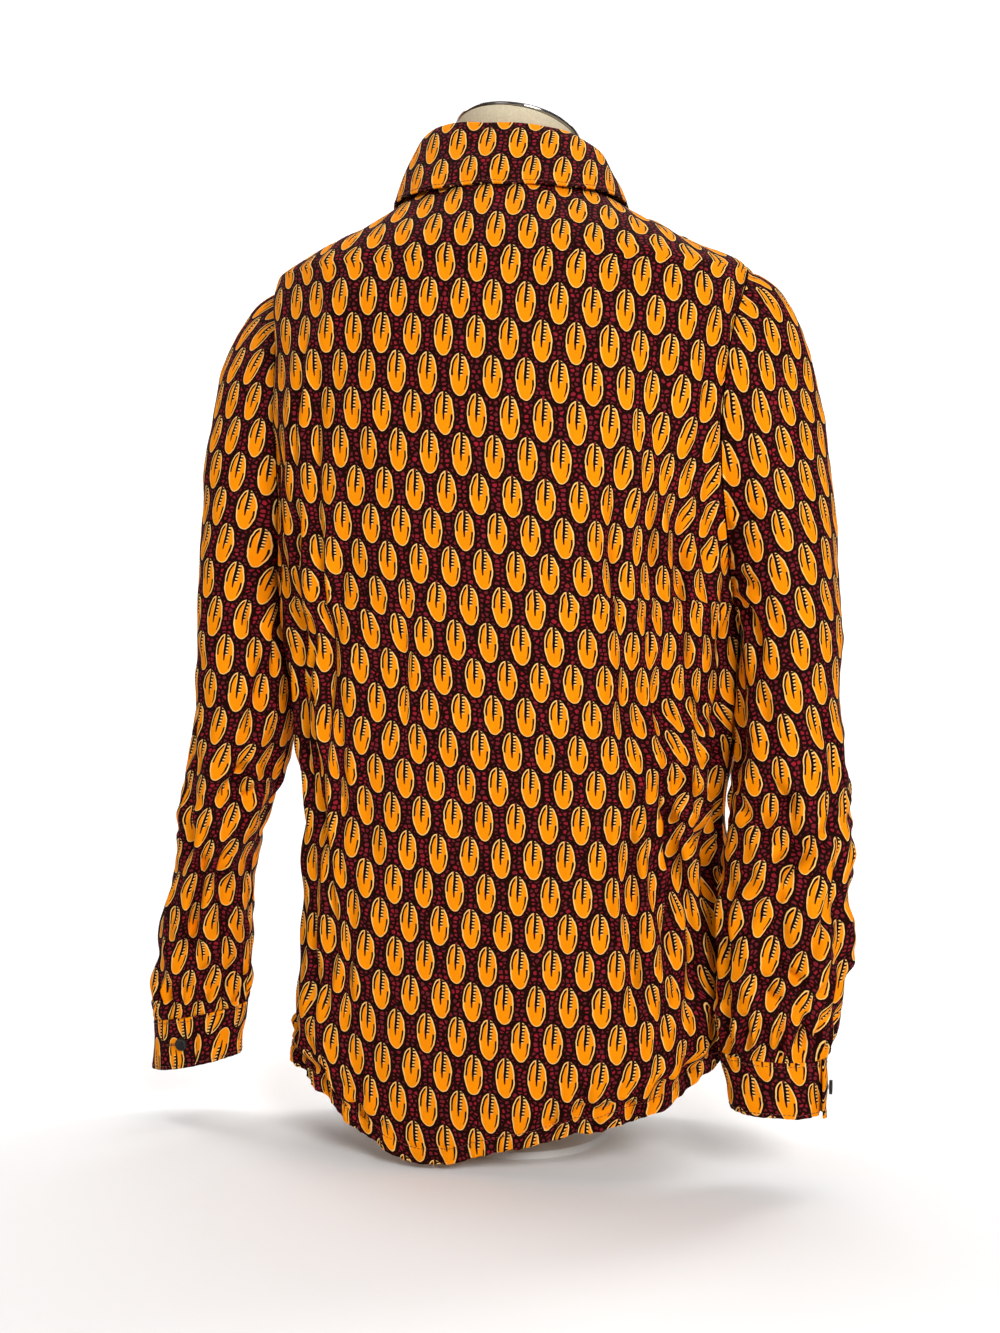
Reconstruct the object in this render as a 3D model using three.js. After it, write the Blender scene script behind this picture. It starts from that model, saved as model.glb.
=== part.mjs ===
// A long-sleeved cotton shirt with a turn-down collar, buttoned on a limbless table-top dress form.
// Millimetres, +Z up. The wearer faces -Y, so the wearer's left is +X. The origin is the point of the
// table under the form's neck; the base plate, which stands on the table, lies a little forward of it.
//
// The shirt is cut as one back, two fronts, a front placket, two sleeves, two cuffs, a collar band and a
// collar leaf. Each is a thin wall: a grid of points on its outside, and the same points moved in by the
// cloth's thickness. The form is a hollow-free torso with a neck cap, on a short pole and a base plate.
import * as THREE from "three";

// ---- driving sizes ----
const CLOTH = 1.2; // one layer of cotton with its seam allowance
const FUSED = 1.8; // interfaced layers: collar, band, cuffs, placket
const SEAM_GAP = 0.3; // air between two pieces at a seam
const HEM_LEVELS_END = 150; // above this height the rows of the body run level
const ARMPIT_Z = 466;
const TIP_Z = 748; // shoulder tip, top of the armhole
const NECK_Z = 838; // neck point on the shoulder seam
const NECK_ROWS_START = 610; // above this height the front's rows bend down to the neckline
const TWIST = 8; // degrees by which the side seams sit turned on the form, to the wearer's left
const SWAY = 4; // how far the skirt hangs to the wearer's right
const DEG = Math.PI / 180;

// ---- tables read by smooth curves ----
// The body's sections: half width, depth behind and before the side seams, squareness, and the
// distance of the side seams before the axis.
const BODY_SECTIONS = [
  { z: 0, half: 200, back: 84, front: 112, square: 2.5, mid: 0 },
  { z: 89, half: 195, back: 81, front: 113, square: 2.5, mid: 0 },
  { z: 160, half: 189, back: 79, front: 111, square: 2.5, mid: 0 },
  { z: 232, half: 185, back: 78, front: 107, square: 2.45, mid: 0 },
  { z: 296, half: 182, back: 80, front: 105, square: 2.4, mid: 0 },
  { z: 341, half: 188, back: 86, front: 106, square: 2.4, mid: 0 },
  { z: 395, half: 194, back: 95, front: 109, square: 2.4, mid: 0 },
  { z: 460, half: 200, back: 104, front: 113, square: 2.4, mid: 0 },
  { z: 520, half: 203, back: 111, front: 115, square: 2.4, mid: 0 },
  { z: 580, half: 205, back: 116, front: 112, square: 2.4, mid: 0 },
  { z: 640, half: 207, back: 118, front: 107, square: 2.4, mid: 0 },
  { z: 700, half: 208, back: 114, front: 97, square: 2.35, mid: -2 },
  { z: 748, half: 207, back: 106, front: 86, square: 2.25, mid: -6 },
  { z: 764, half: 184, back: 103, front: 80, square: 2.2, mid: -9 },
  { z: 778, half: 158, back: 99, front: 74, square: 2.15, mid: -13 },
  { z: 790, half: 135, back: 94, front: 69, square: 2.1, mid: -16 },
  { z: 803, half: 113, back: 88, front: 64, square: 2.1, mid: -19 },
  { z: 815, half: 95, back: 82, front: 60, square: 2.05, mid: -22 },
  { z: 827, half: 80, back: 75, front: 57, square: 2.0, mid: -24 },
  { z: 838, half: 65, back: 68, front: 55, square: 2.0, mid: -26 },
];

// The hem's height round the body. The angle is 0 at the centre back, positive to the wearer's left.
const HEM = [
  { angle: -180, z: 46 },
  { angle: -150, z: 56 },
  { angle: -120, z: 80 },
  { angle: -90, z: 102 },
  { angle: -66, z: 97 },
  { angle: -55, z: 83 },
  { angle: -45, z: 67 },
  { angle: -34, z: 52 },
  { angle: -20, z: 42 },
  { angle: -8, z: 30 },
  { angle: 2, z: 16 },
  { angle: 8, z: 7 },
  { angle: 14, z: 6 },
  { angle: 20, z: 10 },
  { angle: 28, z: 22 },
  { angle: 38, z: 37 },
  { angle: 48, z: 51 },
  { angle: 60, z: 63 },
  { angle: 75, z: 70 },
  { angle: 90, z: 74 },
  { angle: 120, z: 68 },
  { angle: 150, z: 54 },
  { angle: 180, z: 46 },
];

// The neckline's height from the centre back, 0, to the centre front, 180.
const NECKLINE = [
  { angle: 0, z: 834 },
  { angle: 45, z: 837 },
  { angle: 90, z: NECK_Z },
  { angle: 115, z: 829 },
  { angle: 140, z: 806 },
  { angle: 160, z: 780 },
  { angle: 180, z: 764 },
];

// The largest folds of the body: ridges above zero depth, troughs below it.
const BODY_FOLDS = [
  { angle: -47, lean: 4, spread: 5.5, depth: -9, low: 130, high: 520 },
  { angle: -57, lean: 2, spread: 5, depth: 6, low: 60, high: 560 },
  { angle: -68, lean: -3, spread: 5.5, depth: -10, low: 90, high: 560 },
  { angle: -36, lean: 5, spread: 5, depth: 4, low: 60, high: 420 },
  { angle: 62, lean: -3, spread: 6, depth: -7, low: 260, high: 520 },
  { angle: 73, lean: -2, spread: 6, depth: 5, low: 180, high: 480 },
  { angle: 50, lean: 3, spread: 6, depth: 4, low: 200, high: 470 },
  { angle: 118, lean: 3, spread: 7, depth: -8, low: 80, high: 500 },
  { angle: 132, lean: 2, spread: 6, depth: 5, low: 60, high: 420 },
  { angle: -116, lean: -3, spread: 7, depth: -8, low: 80, high: 480 },
  { angle: -134, lean: -2, spread: 6, depth: 5, low: 60, high: 430 },
];

// The sleeves' centre lines and half widths, from the armpit down. x is measured outwards.
const SLEEVE_LEFT = [
  { z: 450, x: 240, y: 2, wide: 41, deep: 62, roll: 0 },
  { z: 410, x: 239, y: 0, wide: 42, deep: 62, roll: 0 },
  { z: 372, x: 240, y: -3, wide: 43.5, deep: 61, roll: 0 },
  { z: 335, x: 249, y: -7, wide: 42.5, deep: 59, roll: 0 },
  { z: 298, x: 259, y: -10, wide: 40.5, deep: 57, roll: 0.02 },
  { z: 261, x: 267, y: -14, wide: 33.5, deep: 55, roll: 0.05 },
  { z: 224, x: 276.5, y: -17, wide: 35, deep: 51, roll: 0.08 },
  { z: 187, x: 284, y: -20, wide: 39, deep: 47, roll: 0.1 },
  { z: 149, x: 287, y: -23, wide: 42.5, deep: 43, roll: 0.13 },
  { z: 116, x: 291.5, y: -24, wide: 44, deep: 36, roll: 0.17 },
  { z: 96, x: 293.5, y: -25, wide: 44, deep: 31, roll: 0.2 },
];
const SLEEVE_RIGHT = [
  { z: 450, x: 242, y: 14, wide: 41, deep: 61, roll: 0 },
  { z: 412, x: 239, y: 20, wide: 42, deep: 60, roll: 0 },
  { z: 380, x: 237, y: 27, wide: 43, deep: 58, roll: 0 },
  { z: 348, x: 238, y: 34, wide: 45, deep: 55, roll: 0 },
  { z: 316, x: 239.5, y: 41, wide: 48.5, deep: 52, roll: 0 },
  { z: 284, x: 238.5, y: 46, wide: 50.5, deep: 50, roll: 0.02 },
  { z: 253, x: 237, y: 50, wide: 51.5, deep: 48, roll: 0.03 },
  { z: 221, x: 234.5, y: 53, wide: 52, deep: 47, roll: 0.04 },
  { z: 189, x: 234.5, y: 55, wide: 53, deep: 46, roll: 0.04 },
  { z: 157, x: 231.5, y: 57, wide: 51, deep: 44, roll: 0.03 },
  { z: 128, x: 229, y: 58, wide: 48.5, deep: 38, roll: 0.02 },
  { z: 106, x: 225.5, y: 58, wide: 42.5, deep: 31, roll: 0.02 },
];

// The sleeves' largest folds: angle 0 is outwards, 90 towards the back.
const SLEEVE_LEFT_FOLDS = [
  { angle: 150, lean: -6, spread: 16, depth: 7, low: 240, high: 330 },
  { angle: 120, lean: 10, spread: 13, depth: -6, low: 250, high: 420 },
  { angle: 60, lean: 8, spread: 14, depth: -5, low: 180, high: 400 },
  { angle: 100, lean: -8, spread: 13, depth: -4, low: 90, high: 240 },
  { angle: 20, lean: 0, spread: 15, depth: 4, low: 90, high: 200 },
  { angle: 240, lean: 6, spread: 16, depth: -6, low: 120, high: 420 },
  { angle: 300, lean: -6, spread: 16, depth: 5, low: 150, high: 400 },
];
const SLEEVE_RIGHT_FOLDS = [
  { angle: 160, lean: -4, spread: 14, depth: -7, low: 260, high: 430 },
  { angle: 120, lean: 6, spread: 14, depth: 5, low: 120, high: 340 },
  { angle: 92, lean: -8, spread: 12, depth: -7, low: 170, high: 320 },
  { angle: 55, lean: 10, spread: 14, depth: 5, low: 150, high: 330 },
  { angle: 30, lean: 6, spread: 13, depth: -6, low: 120, high: 290 },
  { angle: 240, lean: 4, spread: 16, depth: -6, low: 120, high: 420 },
  { angle: 300, lean: -4, spread: 16, depth: 5, low: 150, high: 400 },
];

// How much higher a point lies for each millimetre to the wearer's left: that shoulder is the higher.
const LEAN = [
  { z: 466, rise: 0 },
  { z: 748, rise: 0.022 },
  { z: 838, rise: 0.045 },
  { z: 900, rise: 0.1 },
];

// Catmull-Rom through the rows of a table, with straight ends.
function readTable(table, key, column, at) {
  let i = 0;
  const ascending = table[1][key] > table[0][key];
  const before = (row) => (ascending ? at > row[key] : at < row[key]);
  while (i < table.length - 2 && before(table[i + 1])) i++;
  const [a, b] = [table[i], table[i + 1]];
  const [p, q] = [table[Math.max(i - 1, 0)], table[Math.min(i + 2, table.length - 1)]];
  const span = b[key] - a[key];
  const t = Math.min(1, Math.max(0, (at - a[key]) / span));
  const slopeA = (span * (b[column] - p[column])) / (b[key] - p[key]);
  const slopeB = (span * (q[column] - a[column])) / (q[key] - a[key]);
  const [t2, t3] = [t * t, t * t * t];
  return (
    (2 * t3 - 3 * t2 + 1) * a[column] +
    (t3 - 2 * t2 + t) * slopeA +
    (3 * t2 - 2 * t3) * b[column] +
    (t3 - t2) * slopeB
  );
}

const smooth = (t) => {
  const s = Math.min(1, Math.max(0, t));
  return s * s * (3 - 2 * s);
};

// How far the folds of a table push the cloth out at an angle in degrees and a height.
function foldDepth(folds, angle, z) {
  let sum = 0;
  for (const fold of folds) {
    const middle = (fold.low + fold.high) / 2;
    const fade = 0.3 * (fold.high - fold.low);
    const window = smooth((z - fold.low) / fade) * smooth((fold.high - z) / fade);
    let off = angle - fold.angle - (fold.lean * (z - middle)) / 100;
    off -= 360 * Math.round(off / 360);
    sum += fold.depth * window * Math.exp(-((off / fold.spread) ** 2));
  }
  return sum;
}

function leaned(point) {
  point.z += readTable(LEAN, "z", "rise", Math.max(466, Math.min(900, point.z))) * point.x;
  return point;
}

// ---- the body's surface ----
// A point on the outside of the shirt's body, at an angle in degrees and a height.
function bodyPoint(angle, z, out = 0) {
  const half = readTable(BODY_SECTIONS, "z", "half", z);
  const power = 2 / readTable(BODY_SECTIONS, "z", "square", z);
  const [s, c] = [Math.sin(angle * DEG), Math.cos(angle * DEG)];
  const deep = readTable(BODY_SECTIONS, "z", c >= 0 ? "back" : "front", z);
  const x = half * Math.sign(s) * Math.abs(s) ** power;
  const y = deep * Math.sign(c) * Math.abs(c) ** power;
  const away = new THREE.Vector2(x / half ** 2, y / deep ** 2).normalize();
  const mid = readTable(BODY_SECTIONS, "z", "mid", z);
  const push = out + foldDepth(BODY_FOLDS, angle, z);
  const sway = -SWAY * (1 - smooth((z - 300) / 250));
  return leaned(new THREE.Vector3(x + sway + away.x * push, mid + y + away.y * push, z));
}

// Where the back and the fronts end at the armhole, as an angle short of the side seam.
const ARMHOLE_BACK = 21;
const ARMHOLE_FRONT = 28;
function armholeBite(z, most) {
  const t = (z - ARMPIT_Z) / (TIP_Z - ARMPIT_Z);
  return t <= 0 || t >= 1 ? 0 : most * Math.sin(Math.PI * t) ** 0.6;
}

// The heights of the body's rows at the side seam: hem, skirt, armhole, shoulder.
const SKIRT_ROWS = 10;
const ARMHOLE_ROWS = 8;
const SHOULDER_ROWS = 5;
const ROWS = 2 + SKIRT_ROWS + ARMHOLE_ROWS + SHOULDER_ROWS;
function rowHeight(row, hem, neck) {
  if (row <= 2) return hem + ((HEM_LEVELS_END - hem) * row) / 2;
  let z;
  if (row <= 2 + SKIRT_ROWS) {
    z = HEM_LEVELS_END + ((ARMPIT_Z - HEM_LEVELS_END) * (row - 2)) / SKIRT_ROWS;
  } else if (row <= 2 + SKIRT_ROWS + ARMHOLE_ROWS) {
    const t = (row - 2 - SKIRT_ROWS) / ARMHOLE_ROWS;
    z = ARMPIT_Z + ((TIP_Z - ARMPIT_Z) * (1 - Math.cos(Math.PI * t))) / 2;
  } else {
    const t = (row - 2 - SKIRT_ROWS - ARMHOLE_ROWS) / SHOULDER_ROWS;
    z = TIP_Z + (NECK_Z - TIP_Z) * t;
  }
  if (z <= NECK_ROWS_START) return z;
  const bend = (neck - NECK_ROWS_START) / (NECK_Z - NECK_ROWS_START);
  return NECK_ROWS_START + (z - NECK_ROWS_START) * bend;
}

// A point of a row at an angle. The rows are level from the hem's start to the shoulder on a given side.
const levelAt = (row, side) => rowHeight(row, readTable(HEM, "angle", "z", side * 90), NECK_Z);
function rowPoint(row, side, angle, out = 0) {
  const level = levelAt(row, side);
  const twist = TWIST * (1 - smooth((level - TIP_Z) / (NECK_Z - TIP_Z)));
  const turned = angle + twist * Math.sin(angle * DEG) ** 2;
  const wrapped = turned > 180 ? turned - 360 : turned < -180 ? turned + 360 : turned;
  const neck = readTable(NECKLINE, "angle", "z", Math.abs(wrapped));
  return bodyPoint(wrapped, rowHeight(row, readTable(HEM, "angle", "z", wrapped), neck), out);
}

// The angle at which a panel starts: the side seam, the armhole or the shoulder seam.
function panelStart(row, side, towards, most) {
  const level = levelAt(row, side);
  const seam = (SEAM_GAP / 2 / readTable(BODY_SECTIONS, "z", "half", level)) / DEG;
  return side * 90 + towards * (seam + armholeBite(level, most));
}
function backPoint(row, across) {
  const side = across <= 1 ? 1 : -1;
  const share = across <= 1 ? across : 2 - across;
  return rowPoint(row, side, panelStart(row, side, -side, ARMHOLE_BACK) * (1 - share));
}

// ---- walls ----
// A closed solid whose outside is pointAt(row, column) for whole rows and columns, and whose inside is
// the same moved in by the thickness. Facing is 1 where columns x rows points outwards, otherwise -1.
function wallGeometry(rows, columns, pointAt, thickness, facing, closed = false) {
  const count = closed ? columns : columns + 1;
  const outer = [];
  const inner = [];
  for (let i = 0; i <= rows; i++)
    for (let j = 0; j < count; j++) {
      const point = pointAt(i, j);
      const round = pointAt(i, j + 0.04).sub(pointAt(i, j - 0.04));
      const along = pointAt(Math.min(rows, i + 0.04), j).sub(pointAt(Math.max(0, i - 0.04), j));
      const inward = round.cross(along).normalize().multiplyScalar(-facing * thickness);
      outer.push(point.x, point.y, point.z);
      inner.push(point.x + inward.x, point.y + inward.y, point.z + inward.z);
    }
  const index = [];
  const at = (layer, i, j) => (layer * (rows + 1) + i) * count + (j % count);
  const quad = (a, b, c, d) => {
    if (facing > 0) index.push(a, b, c, a, c, d);
    else index.push(a, c, b, a, d, c);
  };
  for (let i = 0; i < rows; i++)
    for (let j = 0; j < columns; j++) {
      quad(at(0, i, j), at(0, i, j + 1), at(0, i + 1, j + 1), at(0, i + 1, j));
      quad(at(1, i, j), at(1, i + 1, j), at(1, i + 1, j + 1), at(1, i, j + 1));
    }
  for (let j = 0; j < columns; j++) {
    quad(at(0, 0, j + 1), at(0, 0, j), at(1, 0, j), at(1, 0, j + 1));
    quad(at(0, rows, j), at(0, rows, j + 1), at(1, rows, j + 1), at(1, rows, j));
  }
  if (!closed)
    for (let i = 0; i < rows; i++) {
      quad(at(0, i, 0), at(0, i + 1, 0), at(1, i + 1, 0), at(1, i, 0));
      quad(at(0, i + 1, columns), at(0, i, columns), at(1, i, columns), at(1, i + 1, columns));
    }
  return indexedGeometry([...outer, ...inner], index);
}

function indexedGeometry(positions, index) {
  const geometry = new THREE.BufferGeometry();
  geometry.setAttribute("position", new THREE.Float32BufferAttribute(positions, 3));
  geometry.setIndex(index);
  geometry.computeVertexNormals();
  return geometry;
}

const printedCotton = new THREE.MeshStandardMaterial({ color: 0xd07a18, roughness: 0.8, metalness: 0 });
const blackButton = new THREE.MeshStandardMaterial({ color: 0x101010, roughness: 0.3, metalness: 0 });
const linen = new THREE.MeshStandardMaterial({ color: 0xd9cfb4, roughness: 0.9, metalness: 0 });
const chrome = new THREE.MeshStandardMaterial({ color: 0xc8c8c8, roughness: 0.15, metalness: 1 });
const whiteSteel = new THREE.MeshStandardMaterial({ color: 0xeeece6, roughness: 0.4, metalness: 0.2 });

const shirt = new THREE.Group();
function addPiece(parent, name, geometry, material) {
  const mesh = new THREE.Mesh(geometry, material);
  mesh.name = name;
  parent.add(mesh);
  return mesh;
}

// ---- back: one piece, with no yoke, from side seam to side seam ----
const BACK_COLUMNS = 26;
addPiece(
  shirt,
  "back",
  wallGeometry(ROWS, BACK_COLUMNS, (i, j) => backPoint(i, (2 * j) / BACK_COLUMNS), CLOTH, 1),
  printedCotton,
);

// ---- fronts: the left one laps over the right one at the centre ----
const FRONT_COLUMNS = 12;
const FRONT_END = 182.6; // degrees from the centre back: each front passes the centre front
const LAP_OUT = CLOTH + SEAM_GAP + 0.5; // the left front lies this far outside the right one
const LAP = [9, 6.2, 0]; // the last columns, in degrees before the end: step out, lap, edge
function frontPointAt(row, side, degreesFromEnd, out = 0) {
  const step = side > 0 ? LAP_OUT * smooth((LAP[0] - degreesFromEnd) / (LAP[0] - LAP[1])) : 0;
  return rowPoint(row, side, side * (FRONT_END - degreesFromEnd), step + out);
}
function frontPoint(row, side, column) {
  const start = panelStart(row, side, side, ARMHOLE_FRONT);
  const whole = FRONT_END - side * start;
  const plain = FRONT_COLUMNS - 2;
  const i = Math.min(1, Math.max(0, Math.floor(column - plain)));
  const before =
    column <= plain
      ? whole + ((LAP[0] - whole) * column) / plain
      : LAP[i] + (LAP[i + 1] - LAP[i]) * (column - plain - i);
  return frontPointAt(row, side, before);
}
for (const [name, side] of [["front_left", 1], ["front_right", -1]]) {
  const pointAt = (i, j) => frontPoint(i, side, j);
  addPiece(shirt, name, wallGeometry(ROWS, FRONT_COLUMNS, pointAt, CLOTH, -side), printedCotton);
}

// ---- front placket: a folded band along the left front's edge ----
const PLACKET = { inner: 5.4, edge: 0.1 }; // degrees before the left front's end
const PLACKET_COLUMNS = 2;
const PLACKET_OUT = FUSED + SEAM_GAP;
const placketPoint = (row, share) =>
  frontPointAt(row, 1, PLACKET.inner + (PLACKET.edge - PLACKET.inner) * share, PLACKET_OUT);
addPiece(
  shirt,
  "front_placket",
  wallGeometry(ROWS, PLACKET_COLUMNS, (i, j) => placketPoint(i, j / PLACKET_COLUMNS), FUSED, -1),
  printedCotton,
);

// ---- sleeves: tubes from the armhole to the cuff ----
const AROUND = 2 * ARMHOLE_ROWS;
const CAP_ROWS = 7;
const TUBE_ROWS = 13;
const BICEPS_Z = 440;

const SLEEVES = {
  left: { side: 1, head: 0.82, table: SLEEVE_LEFT, folds: SLEEVE_LEFT_FOLDS },
  right: { side: -1, head: 0.64, table: SLEEVE_RIGHT, folds: SLEEVE_RIGHT_FOLDS },
};
for (const sleeve of Object.values(SLEEVES)) sleeve.end = sleeve.table[sleeve.table.length - 1].z;

// The armhole's edge, from the shoulder tip down the back, through the armpit and up the front.
function armholePoint(side, k) {
  const first = 2 + SKIRT_ROWS;
  const steps = ((k % AROUND) + AROUND) % AROUND;
  const atBack = steps <= ARMHOLE_ROWS;
  const row = first + (atBack ? ARMHOLE_ROWS - steps : steps - ARMHOLE_ROWS);
  const start = atBack
    ? panelStart(row, side, -side, ARMHOLE_BACK)
    : panelStart(row, side, side, ARMHOLE_FRONT);
  const point = rowPoint(row, side, start);
  point.x += side * (SEAM_GAP + 0.2);
  return point;
}

function tubePoint(sleeve, k, z, out = 0) {
  const angle = (360 * k) / AROUND;
  const [c, s] = [Math.cos(angle * DEG), Math.sin(angle * DEG)];
  const push = out + foldDepth(sleeve.folds, angle, z);
  const read = (column) => readTable(sleeve.table, "z", column, z);
  const wide = read("wide") + push;
  const x = read("x") + wide * c;
  const y = read("y") + (read("deep") + push) * s;
  return new THREE.Vector3(sleeve.side * x, y, z - read("roll") * wide * c);
}

// The cap leaves the armhole outwards at the shoulder and downwards at the armpit.
function capPoint(sleeve, k, t) {
  const start = armholePoint(sleeve.side, k);
  const end = tubePoint(sleeve, k, BICEPS_Z);
  const under = (1 - Math.cos((2 * Math.PI * k) / AROUND)) / 2;
  const outward = sleeve.head + (0.16 - sleeve.head) * under;
  const leave = new THREE.Vector3(sleeve.side * outward, 0, -0.15 - 0.83 * under);
  const arrive = new THREE.Vector3(sleeve.side * 0.08 * (1 - under), 0, -1);
  const reach = start.distanceTo(end);
  const [t2, t3] = [t * t, t * t * t];
  return start
    .multiplyScalar(2 * t3 - 3 * t2 + 1)
    .addScaledVector(leave, (t3 - 2 * t2 + t) * reach)
    .addScaledVector(end, 3 * t2 - 2 * t3)
    .addScaledVector(arrive, (t3 - t2) * reach);
}

function sleevePoint(sleeve, row, k) {
  if (row <= CAP_ROWS) return capPoint(sleeve, k, row / CAP_ROWS);
  const down = (row - CAP_ROWS) / TUBE_ROWS;
  return tubePoint(sleeve, k, BICEPS_Z - (BICEPS_Z - sleeve.end - SEAM_GAP) * down);
}
for (const [name, sleeve] of Object.entries(SLEEVES)) {
  const pointAt = (i, j) => sleevePoint(sleeve, i, j);
  const rows = CAP_ROWS + TUBE_ROWS;
  const geometry = wallGeometry(rows, AROUND, pointAt, CLOTH, -sleeve.side, true);
  addPiece(shirt, `sleeve_${name}`, geometry, printedCotton);
}

// ---- cuffs: bands that lap over themselves at the button ----
const CUFF_HEIGHT = 46;
const CUFF_COLUMNS = 24;
const CUFF_ROWS = 2;
const CUFF_LAP = 34; // degrees by which the band laps over its own start
const CUFF_STEP = FUSED + 0.9;
const CUFFS = [
  { name: "cuff_left", sleeve: SLEEVES.left, button: 86, taper: -3, flare: 0, lean: 4 },
  { name: "cuff_right", sleeve: SLEEVES.right, button: 8, taper: -7, flare: 5, lean: 2 },
];
// The upper end lies just past the button, and the band runs from there round to under it.
function cuffPoint(cuff, share, down, out = 0) {
  const degrees = cuff.button + CUFF_LAP / 2 - share * (360 + CUFF_LAP);
  const lifted = CUFF_STEP * smooth(1 - (share * (360 + CUFF_LAP)) / (2.2 * CUFF_LAP));
  const flared = cuff.flare * down * smooth(1 - (share * 360) / 60);
  const push = lifted + flared + cuff.taper * down + out;
  const point = tubePoint(cuff.sleeve, (degrees / 360) * AROUND, cuff.sleeve.end, push);
  point.z -= CUFF_HEIGHT * down;
  point.x += cuff.sleeve.side * cuff.lean * down;
  return point;
}
for (const cuff of CUFFS) {
  const pointAt = (i, j) => cuffPoint(cuff, j / CUFF_COLUMNS, i / CUFF_ROWS);
  const geometry = wallGeometry(CUFF_ROWS, CUFF_COLUMNS, pointAt, FUSED, cuff.sleeve.side);
  addPiece(shirt, cuff.name, geometry, printedCotton);
}

// ---- collar: a standing band and a leaf that turns down over it ----
// The band's foot follows the neckline; the fold line on top is a smaller, forward-leaning oval.
const COLLAR_FOLD = [
  { angle: 0, x: 0, y: 30, z: 873 },
  { angle: 30, x: 35, y: 24, z: 874 },
  { angle: 60, x: 61, y: 5, z: 875 },
  { angle: 90, x: 71, y: -26, z: 871 },
  { angle: 120, x: 64, y: -60, z: 853 },
  { angle: 150, x: 39, y: -88, z: 827 },
  { angle: 172, x: 8, y: -101, z: 811 },
  { angle: 180, x: 0, y: -102, z: 810 },
];
// The leaf's edge: how far it lies outside the fold line, and how far below it.
const LEAF_EDGE = [
  { angle: 0, out: 34, drop: 58 },
  { angle: 40, out: 36, drop: 60 },
  { angle: 70, out: 34, drop: 59 },
  { angle: 90, out: 33, drop: 56 },
  { angle: 115, out: 34, drop: 57 },
  { angle: 135, out: 35, drop: 60 },
  { angle: 155, out: 28, drop: 66 },
  { angle: 168, out: 22, drop: 68 },
];
const SAG_LEFT = 2; // how far the fold sags at the wearer's left
const SAG_RIGHT = 6; // and at the right
const TUCK_LEFT = 3; // how much further the leaf's left side falls
const TUCK_RIGHT = -8; // and its right side
const NECK_MID = -30; // y of the neck's middle
const COLLAR_SHIFT = 4; // the collar sits a little to the wearer's left
const COLLAR_COLUMNS = 28;
const COLLAR_END = 168; // the leaf starts and ends this far from the centre back
const BAND_END = 178; // and the band here
const BAND_ROWS = 2;
const LEAF_ROWS = 4;
function foldPoint(angle) {
  const size = Math.abs(angle);
  const sag = (angle > 0 ? SAG_LEFT : SAG_RIGHT) * Math.sin(angle * DEG) ** 2;
  return new THREE.Vector3(
    COLLAR_SHIFT + Math.sign(angle) * readTable(COLLAR_FOLD, "angle", "x", size),
    readTable(COLLAR_FOLD, "angle", "y", size),
    readTable(COLLAR_FOLD, "angle", "z", size) - sag,
  );
}
function bandPoint(angle, up) {
  const foot = bodyPoint(angle, readTable(NECKLINE, "angle", "z", Math.abs(angle)));
  foot.z += Math.abs(angle) > 110 ? 1.7 : 0.8;
  const top = leaned(foldPoint(angle));
  const inward = new THREE.Vector2(COLLAR_SHIFT - top.x, NECK_MID - top.y).normalize();
  top.add(new THREE.Vector3(0.6 * inward.x, 0.6 * inward.y, -3.2));
  return foot.lerp(top, up);
}
function leafPoint(angle, down) {
  const fold = foldPoint(angle);
  const away = new THREE.Vector2(fold.x - COLLAR_SHIFT, fold.y - NECK_MID).normalize();
  const out = readTable(LEAF_EDGE, "angle", "out", Math.abs(angle));
  const drop = readTable(LEAF_EDGE, "angle", "drop", Math.abs(angle));
  // The fold rolls over in the first part of the leaf. Then the leaf falls nearly straight at the back
  // and bulges outwards over the shoulders.
  const shoulder = Math.sin(angle * DEG) ** 2;
  const roll = 3.2 * Math.sin(Math.min(1, down * 4) * 90 * DEG);
  const reach = roll + (out - 3.2) * down ** (1.15 - 0.4 * shoulder);
  const tuck = (angle > 0 ? TUCK_LEFT : TUCK_RIGHT) * shoulder;
  const fall = (drop + tuck) * down ** (1 + 0.2 * shoulder);
  return leaned(
    new THREE.Vector3(
      fold.x + away.x * reach,
      fold.y + away.y * reach,
      fold.z + 2.2 * (1 - down) - fall,
    ),
  );
}
addPiece(
  shirt,
  "collar_band",
  wallGeometry(
    BAND_ROWS,
    COLLAR_COLUMNS,
    (i, j) => bandPoint(BAND_END * (1 - (2 * j) / COLLAR_COLUMNS), i / BAND_ROWS),
    FUSED,
    1,
  ),
  printedCotton,
);
addPiece(
  shirt,
  "collar_leaf",
  wallGeometry(
    LEAF_ROWS,
    COLLAR_COLUMNS,
    (i, j) => leafPoint(COLLAR_END * (1 - (2 * j) / COLLAR_COLUMNS), 1 - i / LEAF_ROWS),
    FUSED,
    1,
  ),
  printedCotton,
);

// ---- buttons: flat discs with a raised rim ----
const BUTTON = { radius: 5.7, height: 2.6, rim: 1.4, dish: 0.7, sides: 12 };
function buttonGeometry() {
  const { radius, height, rim, dish } = BUTTON;
  const profile = [
    [0, 0],
    [radius, 0],
    [radius, height],
    [radius - rim, height],
    [0, height - dish],
  ].map(([r, h]) => new THREE.Vector2(r, h));
  return new THREE.LatheGeometry(profile, BUTTON.sides).rotateX(Math.PI / 2);
}
function addButton(name, seat, outward) {
  const mesh = addPiece(shirt, name, buttonGeometry(), blackButton);
  mesh.position.copy(seat).addScaledVector(outward, SEAM_GAP);
  mesh.quaternion.setFromUnitVectors(new THREE.Vector3(0, 0, 1), outward);
}
const outwardAt = (before, after, below, above) => after.sub(before).cross(above.sub(below)).normalize();
const FRONT_BUTTON_ROWS = [3.4, 6, 8.6, 11.2, 14.4, 18];
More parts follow.
